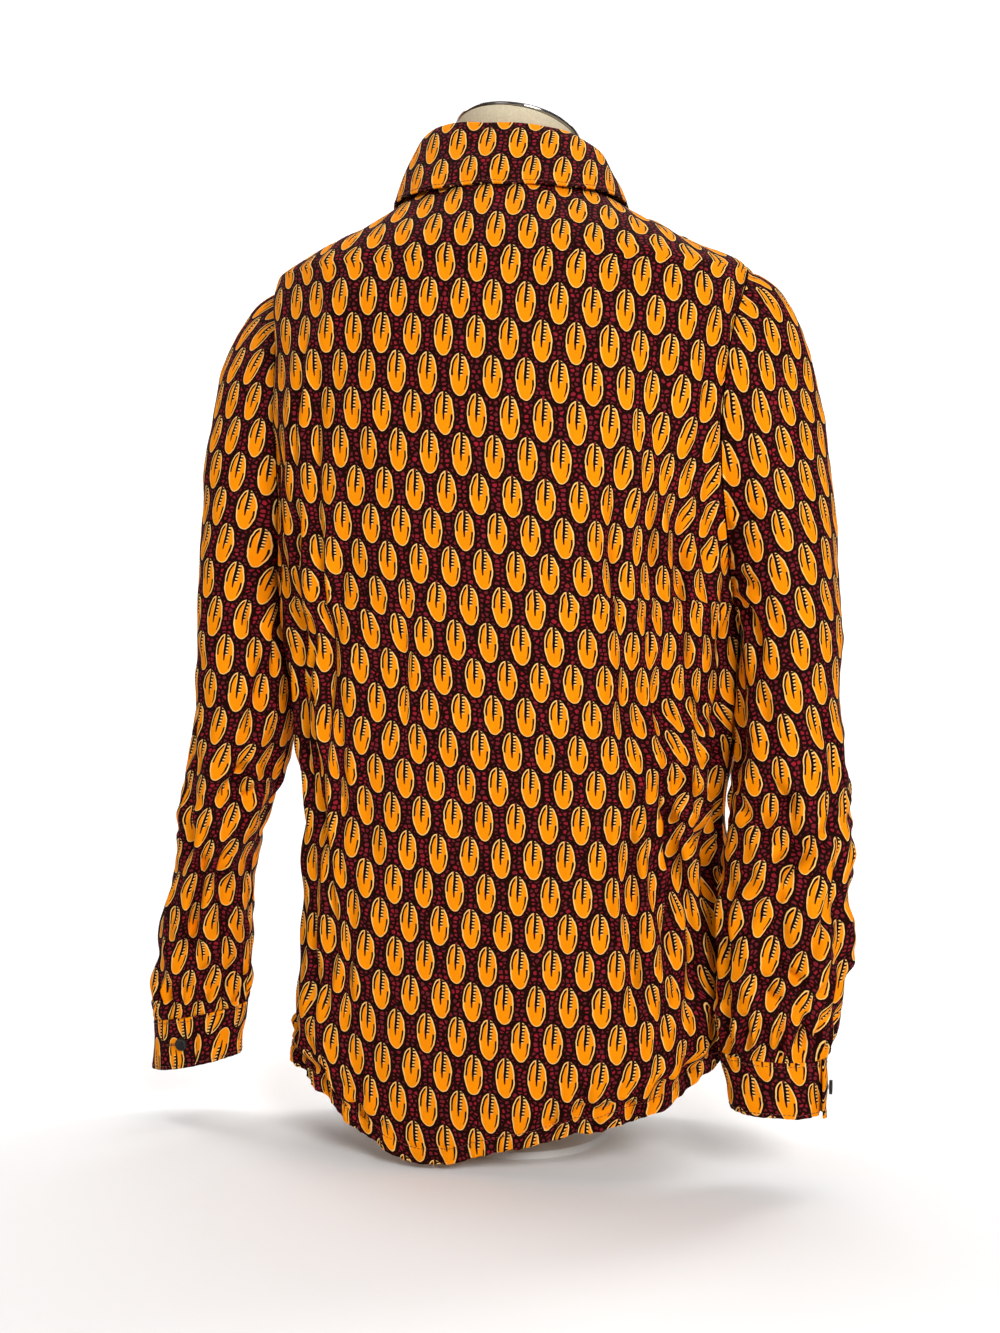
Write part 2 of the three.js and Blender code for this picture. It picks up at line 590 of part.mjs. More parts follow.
FRONT_BUTTON_ROWS.forEach((row, i) => {
  const outward = outwardAt(
    placketPoint(row, 0.6),
    placketPoint(row, 0.4),
    placketPoint(row - 0.3, 0.5),
    placketPoint(row + 0.3, 0.5),
  );
  addButton(`button_front_${i + 1}`, placketPoint(row, 0.5), outward);
});
for (const cuff of CUFFS) {
  const share = CUFF_LAP / 2 / (360 + CUFF_LAP);
  const outward = outwardAt(
    cuffPoint(cuff, share - 0.02, 0.5),
    cuffPoint(cuff, share + 0.02, 0.5),
    cuffPoint(cuff, share, 0.6),
    cuffPoint(cuff, share, 0.4),
  ).multiplyScalar(-cuff.sleeve.side);
  addButton(`button_${cuff.name}`, cuffPoint(cuff, share, 0.5, 0.6), outward);
}

// ---- dress form: a limbless torso under the shirt, with its cap, pole and base ----
// Above the armpits the torso follows the shirt's inside, so that the shoulders carry the cloth.
const FORM_SECTIONS = [
  { z: 122, half: 96, back: 42, front: 56, square: 2.2, mid: 0 },
  { z: 128, half: 130, back: 54, front: 74, square: 2.2, mid: 0 },
  { z: 142, half: 147, back: 58, front: 82, square: 2.2, mid: 0 },
  { z: 190, half: 150, back: 58, front: 84, square: 2.2, mid: 0 },
  { z: 240, half: 138, back: 56, front: 78, square: 2.2, mid: 0 },
  { z: 296, half: 122, back: 56, front: 72, square: 2.2, mid: 0 },
  { z: 350, half: 128, back: 64, front: 76, square: 2.2, mid: 0 },
  { z: 430, half: 150, back: 82, front: 92, square: 2.2, mid: 0 },
  { z: 500, half: 164, back: 98, front: 99, square: 2.2, mid: 0 },
  { z: 570, half: 170, back: 105, front: 98, square: 2.2, mid: 0 },
  { z: 630, half: 174, back: 108, front: 94, square: 2.2, mid: 0 },
  { z: 690, half: 184, back: 106, front: 85, square: 2.2, mid: -2 },
];
const SHOULDER_INSET = 4.4; // how far the torso's shoulders lie inside the shirt's, level
const NECK = [
  { z: 832, half: 58, back: 53, front: 54, mid: -30, tilt: 0.3 },
  { z: 850, half: 55, back: 52, front: 52, mid: -32, tilt: 0.6 },
  { z: 880, half: 55, back: 55, front: 55, mid: -37, tilt: 1 },
];
const CAP_TILT = 14; // degrees by which the neck's top leans forward
const CAP_ROLL = 7; // and by which its left side lies higher
const FORM_AROUND = 28;
function formRing({ half, back, front, square, z, mid, tilt }) {
  return Array.from({ length: FORM_AROUND }, (_, k) => {
    const angle = -(360 * k) / FORM_AROUND;
    const [s, c] = [Math.sin(angle * DEG), Math.cos(angle * DEG)];
    const x = half * Math.sign(s) * Math.abs(s) ** (2 / square);
    const y = (c >= 0 ? back : front) * Math.sign(c) * Math.abs(c) ** (2 / square);
    if (tilt === undefined) return leaned(new THREE.Vector3(x, mid + y, z));
    const slope = y * Math.tan(CAP_TILT * DEG) + x * Math.tan(CAP_ROLL * DEG);
    return new THREE.Vector3(x, mid + y, z + tilt * slope);
  });
}
// A solid through rings, closed by a flat fan at each end.
function solidThrough(rings) {
  const count = rings[0].length;
  const positions = [];
  const middle = (ring) => ring.reduce((sum, p) => sum.add(p), new THREE.Vector3()).divideScalar(count);
  for (const ring of rings) for (const p of ring) positions.push(p.x, p.y, p.z);
  for (const p of [middle(rings[0]), middle(rings[rings.length - 1])]) positions.push(p.x, p.y, p.z);
  const index = [];
  const [low, high] = [rings.length * count, rings.length * count + 1];
  for (let k = 0; k < count; k++) {
    const next = (k + 1) % count;
    for (let i = 0; i < rings.length - 1; i++) {
      const [a, b] = [i * count + k, i * count + next];
      index.push(a, b, b + count, a, b + count, a + count);
    }
    const top = (rings.length - 1) * count;
    index.push(low, next, k, high, top + k, top + next);
  }
  return indexedGeometry(positions, index);
}
const dressForm = new THREE.Group();
const torsoRings = FORM_SECTIONS.map(formRing);
for (let i = 0; i < SHOULDER_ROWS; i++) {
  const z = TIP_Z + ((NECK_Z - TIP_Z) * i) / SHOULDER_ROWS;
  const read = (column, less) => readTable(BODY_SECTIONS, "z", column, z) - less;
  torsoRings.push(
    formRing({
      half: read("half", SHOULDER_INSET),
      back: read("back", SHOULDER_INSET),
      front: read("front", SHOULDER_INSET),
      square: read("square", 0),
      mid: read("mid", 0),
      z,
    }),
  );
}
for (const ring of NECK) torsoRings.push(formRing({ ...ring, square: 2 }));
addPiece(dressForm, "form_torso", solidThrough(torsoRings), linen);

// The neck cap is a shallow metal disc with a rolled rim, tilted with the neck's top.
const CAP_RADIUS = 57;
const CAP_PROFILE = [
  [0, 0],
  [CAP_RADIUS, 0],
  [CAP_RADIUS, 3.2],
  [CAP_RADIUS - 1.4, 4.4],
  [CAP_RADIUS - 5, 4.4],
  [CAP_RADIUS - 7, 3.4],
  [0, 4.4],
].map(([r, h]) => new THREE.Vector2(r, h));
const neckCap = addPiece(
  dressForm,
  "form_neck_cap",
  new THREE.LatheGeometry(CAP_PROFILE, FORM_AROUND).rotateX(Math.PI / 2),
  chrome,
);
const neckTop = NECK[NECK.length - 1];
neckCap.position.set(0, neckTop.mid, neckTop.z + SEAM_GAP + 0.5);
neckCap.rotation.set(CAP_TILT * DEG, -CAP_ROLL * DEG, 0);

const BASE = { radius: 82, height: 6, forward: 40 };
const POLE = { radius: 14, forward: 12 };
const basePlate = addPiece(
  dressForm,
  "form_base",
  new THREE.CylinderGeometry(BASE.radius - 2, BASE.radius, BASE.height, 40).rotateX(Math.PI / 2),
  whiteSteel,
);
basePlate.position.set(0, -BASE.forward, BASE.height / 2);
const poleHeight = FORM_SECTIONS[0].z - BASE.height - 2 * SEAM_GAP;
const pole = addPiece(
  dressForm,
  "form_pole",
  new THREE.CylinderGeometry(POLE.radius, POLE.radius, poleHeight, 24).rotateX(Math.PI / 2),
  whiteSteel,
);
pole.position.set(0, -POLE.forward, BASE.height + SEAM_GAP + poleHeight / 2);

const part = new THREE.Group();
part.add(shirt, dressForm);
export default part;
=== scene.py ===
import math

import bpy
import numpy as np
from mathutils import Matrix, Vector


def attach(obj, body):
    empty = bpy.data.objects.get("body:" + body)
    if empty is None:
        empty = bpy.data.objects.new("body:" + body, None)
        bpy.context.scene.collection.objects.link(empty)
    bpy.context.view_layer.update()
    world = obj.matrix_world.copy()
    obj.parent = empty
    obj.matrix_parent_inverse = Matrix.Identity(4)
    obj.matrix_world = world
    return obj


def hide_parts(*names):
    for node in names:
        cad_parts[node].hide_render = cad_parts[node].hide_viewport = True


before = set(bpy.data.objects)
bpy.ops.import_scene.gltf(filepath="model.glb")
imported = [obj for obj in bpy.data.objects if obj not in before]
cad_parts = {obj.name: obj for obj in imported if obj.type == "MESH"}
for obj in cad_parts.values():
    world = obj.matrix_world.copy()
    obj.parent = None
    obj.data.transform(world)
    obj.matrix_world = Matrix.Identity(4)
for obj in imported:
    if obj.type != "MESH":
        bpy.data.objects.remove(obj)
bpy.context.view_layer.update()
chance = np.random.default_rng(11)

# ---- The print ----
# Cotton block-printed with rows of cowrie shells, each with a cream rim, a black stroke inside it on
# either side and a toothed slit from the top, and pebbles between them. A row has a shell each 27 mm,
# rows are 32 mm apart and every second one is shifted by half that pitch.


def wire(tree, kind, *inputs, named=None, **settings):
    """A node in the tree, its sockets linked or set in order or by name, and its first output."""
    node = tree.nodes.new(kind)
    for name, value in settings.items():
        setattr(node, name, value)
    for key, value in [*enumerate(inputs), *(named or {}).items()]:
        if isinstance(value, bpy.types.NodeSocket):
            tree.links.new(value, node.inputs[key])
        elif value is not None:
            node.inputs[key].default_value = value
    return node.outputs[0]


def noise(tree, place, scale, detail=2, **settings):
    return wire(tree, "ShaderNodeTexNoise", place, named={"Scale": scale, "Detail": detail}, **settings)


def mapped(tree, value, *limits):
    """The value moved from one range to another: from low, from high, to low, to high."""
    return wire(tree, "ShaderNodeMapRange", value, *limits)


def tinted(tree, color, amount):
    return wire(tree, "ShaderNodeVectorMath", color, named={"Scale": amount}, operation="SCALE")


def woven(tree, place, fineness, first, second):
    """Threads that cross along two of the axes."""
    threads = wire(tree, "ShaderNodeVectorMath", place, (fineness,) * 3, operation="MULTIPLY")
    sines = wire(tree, "ShaderNodeVectorMath", threads, operation="SINE")
    parts = wire(tree, "ShaderNodeSeparateXYZ", sines).node.outputs
    return wire(tree, "ShaderNodeMath", parts[first], parts[second], operation="MULTIPLY")


def bumped(tree, height, strength, distance, normal=None):
    named = {"Height": height, "Strength": strength, "Distance": distance, "Normal": normal}
    return wire(tree, "ShaderNodeBump", named=named)


def new_material(name, roughness=0.5, specular=0.5, color=(0.8, 0.8, 0.8, 1)):
    """A material, its node tree and its shader's sockets."""
    material = bpy.data.materials.new(name)
    material.use_nodes = True
    shader = material.node_tree.nodes["Principled BSDF"].inputs
    shader["Base Color"].default_value = color
    shader["Roughness"].default_value = roughness
    shader["Specular IOR Level"].default_value = specular
    return material, material.node_tree, shader


def new_group(name, inputs, outputs):
    group = bpy.data.node_groups.new(name, "ShaderNodeTree")
    for label, kind in inputs:
        group.interface.new_socket(label, in_out="INPUT", socket_type=kind)
    for label, kind in outputs:
        group.interface.new_socket(label, in_out="OUTPUT", socket_type=kind)
    return group, group.nodes.new("NodeGroupInput"), group.nodes.new("NodeGroupOutput")


shell_print, given, result = new_group(
    "shell_print",
    [("Cloth position", "NodeSocketVector")],
    [("Color", "NodeSocketColor")],
)


def calc(operation, *inputs):
    return wire(shell_print, "ShaderNodeMath", *inputs, operation=operation)


def ramp(value, low, high):
    """0 below low, 1 above high, smooth between."""
    return wire(
        shell_print, "ShaderNodeMapRange", value, low, high, 0.0, 1.0, interpolation_type="SMOOTHSTEP"
    )


def both(*masks):
    out = masks[0]
    for mask in masks[1:]:
        out = calc("MULTIPLY", out, mask)
    return out


def less(mask):
    return calc("SUBTRACT", 1.0, mask)


def squares(a, b):
    return calc("ADD", calc("POWER", a, 2.0), calc("POWER", b, 2.0))


def stroke(off, half):
    """A printed line: 1 where off, a distance in mm, is less than half."""
    return less(ramp(calc("ABSOLUTE", off), calc("SUBTRACT", half, 0.16), calc("ADD", half, 0.16)))


PITCH, ROW_PITCH = 26.6, 31.6
SHELL_WIDE, SHELL_HIGH = 7.85, 17.2  # half sizes
scaled = wire(shell_print, "ShaderNodeVectorMath", given.outputs[0], (1000, 1000, 1000), operation="MULTIPLY")
across, up, _ = wire(shell_print, "ShaderNodeSeparateXYZ", scaled).node.outputs
near = []
for shift in (0.0, 0.5):
    x = calc("WRAP", calc("ADD", across, shift * PITCH), PITCH / 2, -PITCH / 2)
    y = calc("WRAP", calc("ADD", up, shift * 2 * ROW_PITCH), ROW_PITCH, -ROW_PITCH)
    near.append((x, y, squares(calc("DIVIDE", x, SHELL_WIDE), calc("DIVIDE", y, SHELL_HIGH))))
other = calc("LESS_THAN", near[1][2], near[0][2])
x, y, span = [calc("MULTIPLY_ADD", calc("SUBTRACT", b, a), other, a) for a, b in zip(*near)]

# Distance inside the nearest shell's outline, which wavers a little, as on a hand-cut block.
waver = noise(shell_print, scaled, 0.13, 1, noise_dimensions="2D")
slope = squares(calc("MULTIPLY", x, 2 / SHELL_WIDE**2), calc("MULTIPLY", y, 2 / SHELL_HIGH**2))
inside = calc("DIVIDE", less(span), calc("MAXIMUM", calc("SQRT", slope), 0.03))
inside = calc("ADD", inside, calc("MULTIPLY", calc("SUBTRACT", waver, 0.5), 1.3))
from_slit = calc("SUBTRACT", x, calc("SUBTRACT", 0.5, ramp(y, 14.0, -2.0)))
notch = both(stroke(from_slit, 0.75), ramp(y, 13.0, 16.0))
inside = calc("SUBTRACT", inside, calc("MULTIPLY", notch, 3.0))
shell = ramp(inside, -0.14, 0.14)
rim_wide = calc("MULTIPLY_ADD", ramp(y, -15.0, -4.0), 0.45, 0.5)
rim = both(shell, less(ramp(inside, calc("SUBTRACT", rim_wide, 0.2), calc("ADD", rim_wide, 0.35))))
slit = both(stroke(from_slit, calc("MULTIPLY_ADD", ramp(y, -6.0, 4.0), 0.5, 0.6)), ramp(y, -6.2, -4.6))
lip = both(less(ramp(calc("ABSOLUTE", calc("ADD", from_slit, 1.15)), 0.3, 0.75)), ramp(y, 0.0, 6.0))
comb = both(ramp(y, -1.2, 0.0), ramp(from_slit, 0.0, 0.4))
tooth_half = calc("SUBTRACT", 1.0, calc("MULTIPLY", from_slit, 0.12))
teeth = both(
    comb,
    stroke(calc("WRAP", calc("ADD", y, 1.9), 1.42, -1.42), tooth_half),
    less(ramp(from_slit, calc("MULTIPLY_ADD", ramp(y, 0.0, 14.0), 0.6, 2.6), 3.9)),
)
pale = both(comb, less(ramp(from_slit, 1.9, 3.5)))
left = both(stroke(calc("SUBTRACT", inside, 2.0), 1.05), less(ramp(x, -2.0, -1.2)), ramp(y, -1.6, -0.4))
right_half = calc("MULTIPLY_ADD", ramp(y, -12.0, -4.0), 0.5, 0.55)
right = both(stroke(calc("SUBTRACT", inside, 2.2), right_half), ramp(x, 1.0, 2.0))
right = both(right, ramp(y, -12.4, -11.4), less(ramp(y, -1.0, 0.0)))
inked = calc("ADD", calc("ADD", slit, teeth), calc("ADD", left, right))
ink = both(shell, calc("MINIMUM", 1.0, inked))

# Pebbles: cells with round corners, dull or crimson by chance, and more open away from the shells.
pebble_place = wire(shell_print, "ShaderNodeVectorMath", scaled, (0.215, 0.25, 0.0), operation="MULTIPLY")
cells = {"Vector": pebble_place, "Scale": 1.0, "Randomness": 0.78}
gap = wire(
    shell_print, "ShaderNodeTexVoronoi", named=cells, voronoi_dimensions="2D", feature="DISTANCE_TO_EDGE"
)
stone = wire(shell_print, "ShaderNodeTexVoronoi", named=cells, voronoi_dimensions="2D").node.outputs
luck = wire(shell_print, "ShaderNodeSeparateColor", stone["Color"]).node.outputs
roomy = ramp(inside, -1.0, -4.2)  # 1 in the middle of the ground between the shells
edge_width = calc("MULTIPLY_ADD", luck[1], 0.16, calc("MULTIPLY_ADD", roomy, -0.06, 0.17))
pebble = both(
    ramp(gap, calc("SUBTRACT", edge_width, 0.04), calc("ADD", edge_width, 0.05)),
    less(ramp(inside, -2.0, -1.4)),
    less(ramp(stone["Distance"], 0.4, 0.54)),
)


def blend(factor, below, above):
    sockets = {0: factor, 6: below, 7: above}
    return wire(shell_print, "ShaderNodeMix", named=sockets, data_type="RGBA").node.outputs[2]


PLUM, CRIMSON, GROUND = (0.12, 0.013, 0.02, 1), (0.31, 0.011, 0.025, 1), (0.013, 0.002, 0.001, 1)
ORANGE, CREAM, BLACK = (0.95, 0.272, 0.001, 1), (0.95, 0.6, 0.2, 1), (0.010, 0.002, 0.001, 1)
brightness = calc("MULTIPLY", calc("POWER", luck[0], 1.4), calc("MULTIPLY_ADD", roomy, 0.8, 0.3))
color = blend(shell, blend(pebble, GROUND, blend(brightness, PLUM, CRIMSON)), ORANGE)
color = blend(calc("MULTIPLY", both(shell, lip), 0.65), color, CREAM)
color = blend(both(shell, pale), color, CREAM)
color = blend(rim, color, CREAM)
color = blend(ink, color, BLACK)
shell_print.links.new(color, result.inputs[0])

# Plain weave and handling: fine threads, a faint mottle in the dye, and soft small rumples.
cloth_hand, given, result = new_group(
    "cloth_hand",
    [("Color", "NodeSocketColor"), ("Cloth position", "NodeSocketVector"), ("Rumple", "NodeSocketFloat")],
    [("Color", "NodeSocketColor"), ("Normal", "NodeSocketVector")],
)
color, place, rumple = given.outputs[0], given.outputs[1], given.outputs[2]
mottled = mapped(cloth_hand, noise(cloth_hand, place, 55, 3), 0.3, 0.7, 0.93, 1.04)
fine = bumped(cloth_hand, woven(cloth_hand, place, 5200, 0, 1), 0.1, 0.0001)
broad = bumped(cloth_hand, noise(cloth_hand, place, 70), rumple, 0.0022, fine)
cloth_hand.links.new(tinted(cloth_hand, color, mottled), result.inputs[0])
cloth_hand.links.new(broad, result.inputs[1])


def printed_material(name, rumple):
    """Printed cotton: quite matt."""
    material, tree, shader = new_material(name, roughness=0.82, specular=0.05)
    place = wire(tree, "ShaderNodeUVMap", uv_map="cloth")
    pattern = wire(tree, "ShaderNodeGroup", place, node_tree=shell_print)
    hand = wire(tree, "ShaderNodeGroup", pattern, place, rumple, node_tree=cloth_hand).node.outputs
    tree.links.new(hand[0], shader["Base Color"])
    tree.links.new(hand[1], shader["Normal"])
    return material


COTTON, STIFFENED = 0.7, 1.4  # mm
smooth_cotton = printed_material("printed_cotton", 0.10)
worn_cotton = printed_material("printed_cotton_rumpled", 0.22)

# ---- How pieces are made here ----


def finished(name, points, faces, material, stands_for=None, sharp=None):
    """A piece from points in mm, smooth but for edges sharper than so many degrees."""
    mesh = bpy.data.meshes.new(name)
    mesh.from_pydata((np.asarray(points) / 1000).tolist(), [], faces)
    mesh.polygons.foreach_set("use_smooth", [True] * len(faces))
    if sharp:
        mesh.set_sharp_from_angle(angle=math.radians(sharp))
    mesh.materials.append(material)
    piece = bpy.data.objects.new(name, mesh)
    bpy.context.scene.collection.objects.link(piece)
    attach(piece, "root")
    if stands_for:
        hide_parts(stands_for)
    return piece


def ring_faces(rings, around, first=0, ends=False, flipped=False):
    """Quads between rings of points, and at the ends fans to two middle points that come after them."""
    faces = []
    last, middle = (rings - 1) * around, first + rings * around
    for k in range(around):
        a, b = first + k, first + (k + 1) % around
        rises = range(0, last, around)
        faces += [(a + rise, b + rise, b + rise + around, a + rise + around) for rise in rises]
        if ends:
            faces += [(middle, b, a), (middle + 1, a + last, b + last)]
    return [face[:1] + face[:0:-1] for face in faces] if flipped else faces


def lathe(profile, around):
    """Rings of points of a shape turned on a lathe, from its radii and heights."""
    a = np.linspace(0, 2 * math.pi, around, endpoint=False)
    return np.array([np.stack([r * np.cos(a), r * np.sin(a), h + 0 * a], -1) for r, h in profile])


# ---- The shirt's body: the form that the back and the fronts share ----
# Sections at heights (mm): half width, depth behind and before the side seams, squareness, and how far
# forward the side seams lie. The hem and the neckline are heights round the body, from the centre back.
SECTIONS = np.array([
    (0, 200, 84, 112, 2.5, 0), (89, 195, 81, 113, 2.5, 0), (160, 189, 79, 111, 2.5, 0),
    (232, 185, 78, 107, 2.45, 0), (296, 182, 80, 105, 2.4, 0), (341, 188, 86, 106, 2.4, 0),
    (395, 194, 95, 109, 2.4, 0), (460, 200, 104, 113, 2.4, 0), (520, 203, 111, 115, 2.4, 0),
    (580, 205, 116, 112, 2.4, 0), (640, 207, 118, 107, 2.4, 0), (700, 208, 114, 97, 2.35, -2),
    (748, 207, 106, 86, 2.25, -6), (764, 184, 103, 80, 2.2, -9), (778, 158, 99, 74, 2.15, -13),
    (790, 135, 94, 69, 2.1, -16), (803, 113, 88, 64, 2.1, -19), (815, 95, 82, 60, 2.05, -22),
    (827, 80, 75, 57, 2.0, -24), (838, 65, 68, 55, 2.0, -26),
])  # fmt: skip
HEM = np.array([
    (-180, 46), (-150, 56), (-120, 80), (-90, 102), (-66, 97), (-55, 83), (-45, 67), (-34, 52),
    (-20, 42), (-8, 30), (2, 16), (8, 7), (14, 6), (20, 10), (28, 22), (38, 37), (48, 51), (60, 63),
    (75, 70), (90, 74), (120, 68), (150, 54), (180, 46),
])  # fmt: skip
NECKLINE = np.array([(0, 834), (45, 837), (90, 838), (115, 829), (140, 806), (160, 780), (180, 764)])
LEAN = np.array([(466, 0), (748, 0.022), (838, 0.045), (900, 0.1)])
# Largest folds: angle, lean in degrees per 100 mm, spread, depth, lowest and highest point.
BODY_FOLDS = [
    (-47, 4, 5.5, -9, 130, 520), (-57, 2, 5, 6, 60, 560), (-68, -3, 5.5, -10, 90, 560),
    (-36, 5, 5, 4, 60, 420), (62, -3, 6, -7, 260, 520), (73, -2, 6, 5, 180, 480), (50, 3, 6, 4, 200, 470),
    (118, 3, 7, -8, 80, 500), (132, 2, 6, 5, 60, 420), (-116, -3, 7, -8, 80, 480), (-134, -2, 6, 5, 60, 430),
]  # fmt: skip
ARMPIT, TIP, NECK_POINT, HEM_LEVEL, NECK_START = 466, 748, 838, 150, 610
SKIRT_ROWS, ARMHOLE_ROWS, SHOULDER_ROWS = 10, 8, 5
BODY_ROWS = 2 + SKIRT_ROWS + ARMHOLE_ROWS + SHOULDER_ROWS


def read(table, column, at):
    """A smooth curve through a table's rows, level past its ends."""
    key, value = table[:, 0].astype(float), table[:, column].astype(float)
    if key[1] < key[0]:
        key, value = key[::-1], value[::-1]
    at = np.clip(at, key[0], key[-1])
    i = np.clip(np.searchsorted(key, at, side="right") - 1, 0, len(key) - 2)
    before, after = np.maximum(i - 1, 0), np.minimum(i + 2, len(key) - 1)
    gap = key[i + 1] - key[i]
    t = (at - key[i]) / gap
    rise_a = gap * (value[i + 1] - value[before]) / (key[i + 1] - key[before])
    rise_b = gap * (value[after] - value[i]) / (key[after] - key[i])
    return (
        (2 * t**3 - 3 * t**2 + 1) * value[i]
        + (t**3 - 2 * t**2 + t) * rise_a
        + (3 * t**2 - 2 * t**3) * value[i + 1]
        + (t**3 - t**2) * rise_b
    )


def smooth(t):
    """From 0 to 1 as t does, level at both ends."""
    t = np.clip(t, 0, 1)
    return t * t * (3 - 2 * t)


def bell(off, width):
    """1 in the middle, about a third at a width from it."""
    return np.exp(-((off / width) ** 2))


def fold_depth(folds, angle, z):
    total = 0
    for middle, lean, spread, depth, low, high in folds:
        fade = 0.3 * (high - low)
        window = smooth((z - low) / fade) * smooth((high - z) / fade)
        off = angle - middle - lean * (z - (low + high) / 2) / 100
        off = off - 360 * np.round(off / 360)
        total = total + depth * window * bell(off, spread)
    return total


def leaned(x, y, z):
    return np.stack([x, y, z + read(LEAN, 1, z) * x], axis=-1)


def body_point(angle, z, out=0):
    half, square = read(SECTIONS, 1, z), 2 / read(SECTIONS, 4, z)
    s, c = np.sin(np.radians(angle)), np.cos(np.radians(angle))
    deep = np.where(c >= 0, read(SECTIONS, 2, z), read(SECTIONS, 3, z))
    x, y = half * np.sign(s) * np.abs(s) ** square, deep * np.sign(c) * np.abs(c) ** square
    ax, ay = x / half**2, y / deep**2
    size = np.maximum(np.hypot(ax, ay), 1e-9)
    push = out + fold_depth(BODY_FOLDS, angle, z)
    sway = -4 * (1 - smooth((z - 300) / 250))
    return leaned(x + sway + ax / size * push, read(SECTIONS, 5, z) + y + ay / size * push, z)


def row_height(row, hem, neck):
    low = hem + (HEM_LEVEL - hem) * row / 2
    skirt = HEM_LEVEL + (ARMPIT - HEM_LEVEL) * (row - 2) / SKIRT_ROWS
    t = np.clip((row - 2 - SKIRT_ROWS) / ARMHOLE_ROWS, 0, 1)
    armhole = ARMPIT + (TIP - ARMPIT) * (1 - np.cos(np.pi * t)) / 2
    shoulder = TIP + (NECK_POINT - TIP) * (row - 2 - SKIRT_ROWS - ARMHOLE_ROWS) / SHOULDER_ROWS
    ends = (2, 2 + SKIRT_ROWS, 2 + SKIRT_ROWS + ARMHOLE_ROWS)
    z = np.select([row <= end for end in ends], [low, skirt, armhole], shoulder)
    bent = NECK_START + (z - NECK_START) * (neck - NECK_START) / (NECK_POINT - NECK_START)
    return np.where(z <= NECK_START, z, bent)


def row_point(row, side, angle, out=0):
    level = row_height(row, read(HEM, 1, side * 90.0), NECK_POINT)
    twist = 8 * (1 - smooth((level - TIP) / (NECK_POINT - TIP)))
    turned = angle + twist * np.sin(np.radians(angle)) ** 2
    turned = turned - 360 * np.round(turned / 360)
    neck = read(NECKLINE, 1, np.abs(turned))
    return body_point(turned, row_height(row, read(HEM, 1, turned), neck), out)


def panel_start(row, side, towards, most):
    """Where a panel begins: the side seam, the armhole's edge or the shoulder seam, in degrees."""
    level = row_height(row, read(HEM, 1, side * 90.0), NECK_POINT)
    t = np.clip((level - ARMPIT) / (TIP - ARMPIT), 0, 1)
    seam = np.degrees(0.15 / read(SECTIONS, 1, level))
    return side * 90 + towards * (seam + most * np.sin(np.pi * t) ** 0.6)


def body_rows(count):
    """Row numbers from hem to neck, evenly spaced in height but closer together in the hem."""
    numbers = np.linspace(0, BODY_ROWS, 2000)
    heights = row_height(numbers, 80.0, NECK_POINT)
    close = np.linspace(heights[0], heights[0] + 24, 26, endpoint=False)
    even = np.linspace(heights[0] + 24, heights[-1], count - 26)
    return np.interp(np.concatenate([close, even]), heights, numbers)


def hemmed(off):
    """A folded hem 12 mm high: a little thicker, with a groove where it is stitched."""
    return 0.55 * smooth((12 - off) / 1.5) - bell(off - 12.5, 1.6)


# ---- How cloth is made here ----
# A piece is a grid of points on its outside, rows up and columns to the viewer's right. Its print
# coordinates are lengths along the cloth. Creases and rumples move the points along the normals, from
# 0.3 mm inside the solid's face, or 0.2 mm where the piece is stiffened.


def grid_normals(p):
    right = np.gradient(p, axis=1)
    above = np.gradient(p, axis=0)
    n = np.cross(right, above)
    return n / np.maximum(np.linalg.norm(n, axis=-1, keepdims=True), 1e-9)


def soften(field, reach, axis):
    """A running mean over 2*reach+1 samples, ends held."""
    if reach < 1:
        return field
    pad = [(0, 0)] * field.ndim
    pad[axis] = (reach + 1, reach)
    total = np.cumsum(np.pad(field, pad, mode="edge"), axis=axis)
    size = 2 * reach + 1
    high = np.take(total, np.arange(size, total.shape[axis]), axis=axis)
    low = np.take(total, np.arange(0, total.shape[axis] - size), axis=axis)
    return (high - low) / size


def running(steps, axis):
    """Running totals, from 0."""
    pad = [(0, 0)] * steps.ndim
    pad[axis] = (1, 0)
    return np.pad(np.cumsum(steps, axis=axis), pad)


def distances(p, axis):
    return running(np.linalg.norm(np.diff(p, axis=axis), axis=-1), axis)


def cloth_lengths(p, middle, level):
    """Lengths in mm along the rows from column middle, and along the columns from row level."""
    u, v = distances(p, 1), distances(p, 0)
    return soften(u - u[:, middle : middle + 1], 4, 0), soften(v - v[level : level + 1], 4, 1)


def taken_up(p, plain, middle, level, share=1.0):
    """The cloth that the folds in p take up over the plain grid, across and along, in mm."""
    u, v = cloth_lengths(p, middle, level)
    plain_u, plain_v = cloth_lengths(plain, middle, level)
    return soften(soften(u - plain_u, 5, 0), 5, 0) * share, soften(soften(v - plain_v, 5, 1), 5, 1) * share


def tucked(u, z, tucks):
    """The print that narrow tucks hide, across: (across, height) of the low and the top end, and width."""
    hidden = 0 * u
    for low_x, low_z, top_x, top_z, width in tucks:
        along = (z - low_z) / (top_z - low_z)
        off = np.sign(low_x) * (u - low_x - (top_x - low_x) * along - 3 * np.sin(z / 21))
        window = smooth(along / 0.3) * smooth((1 - along) / 0.45)
        hidden += np.sign(low_x) * width * window * smooth((off + 3.5) / 7)
    return hidden


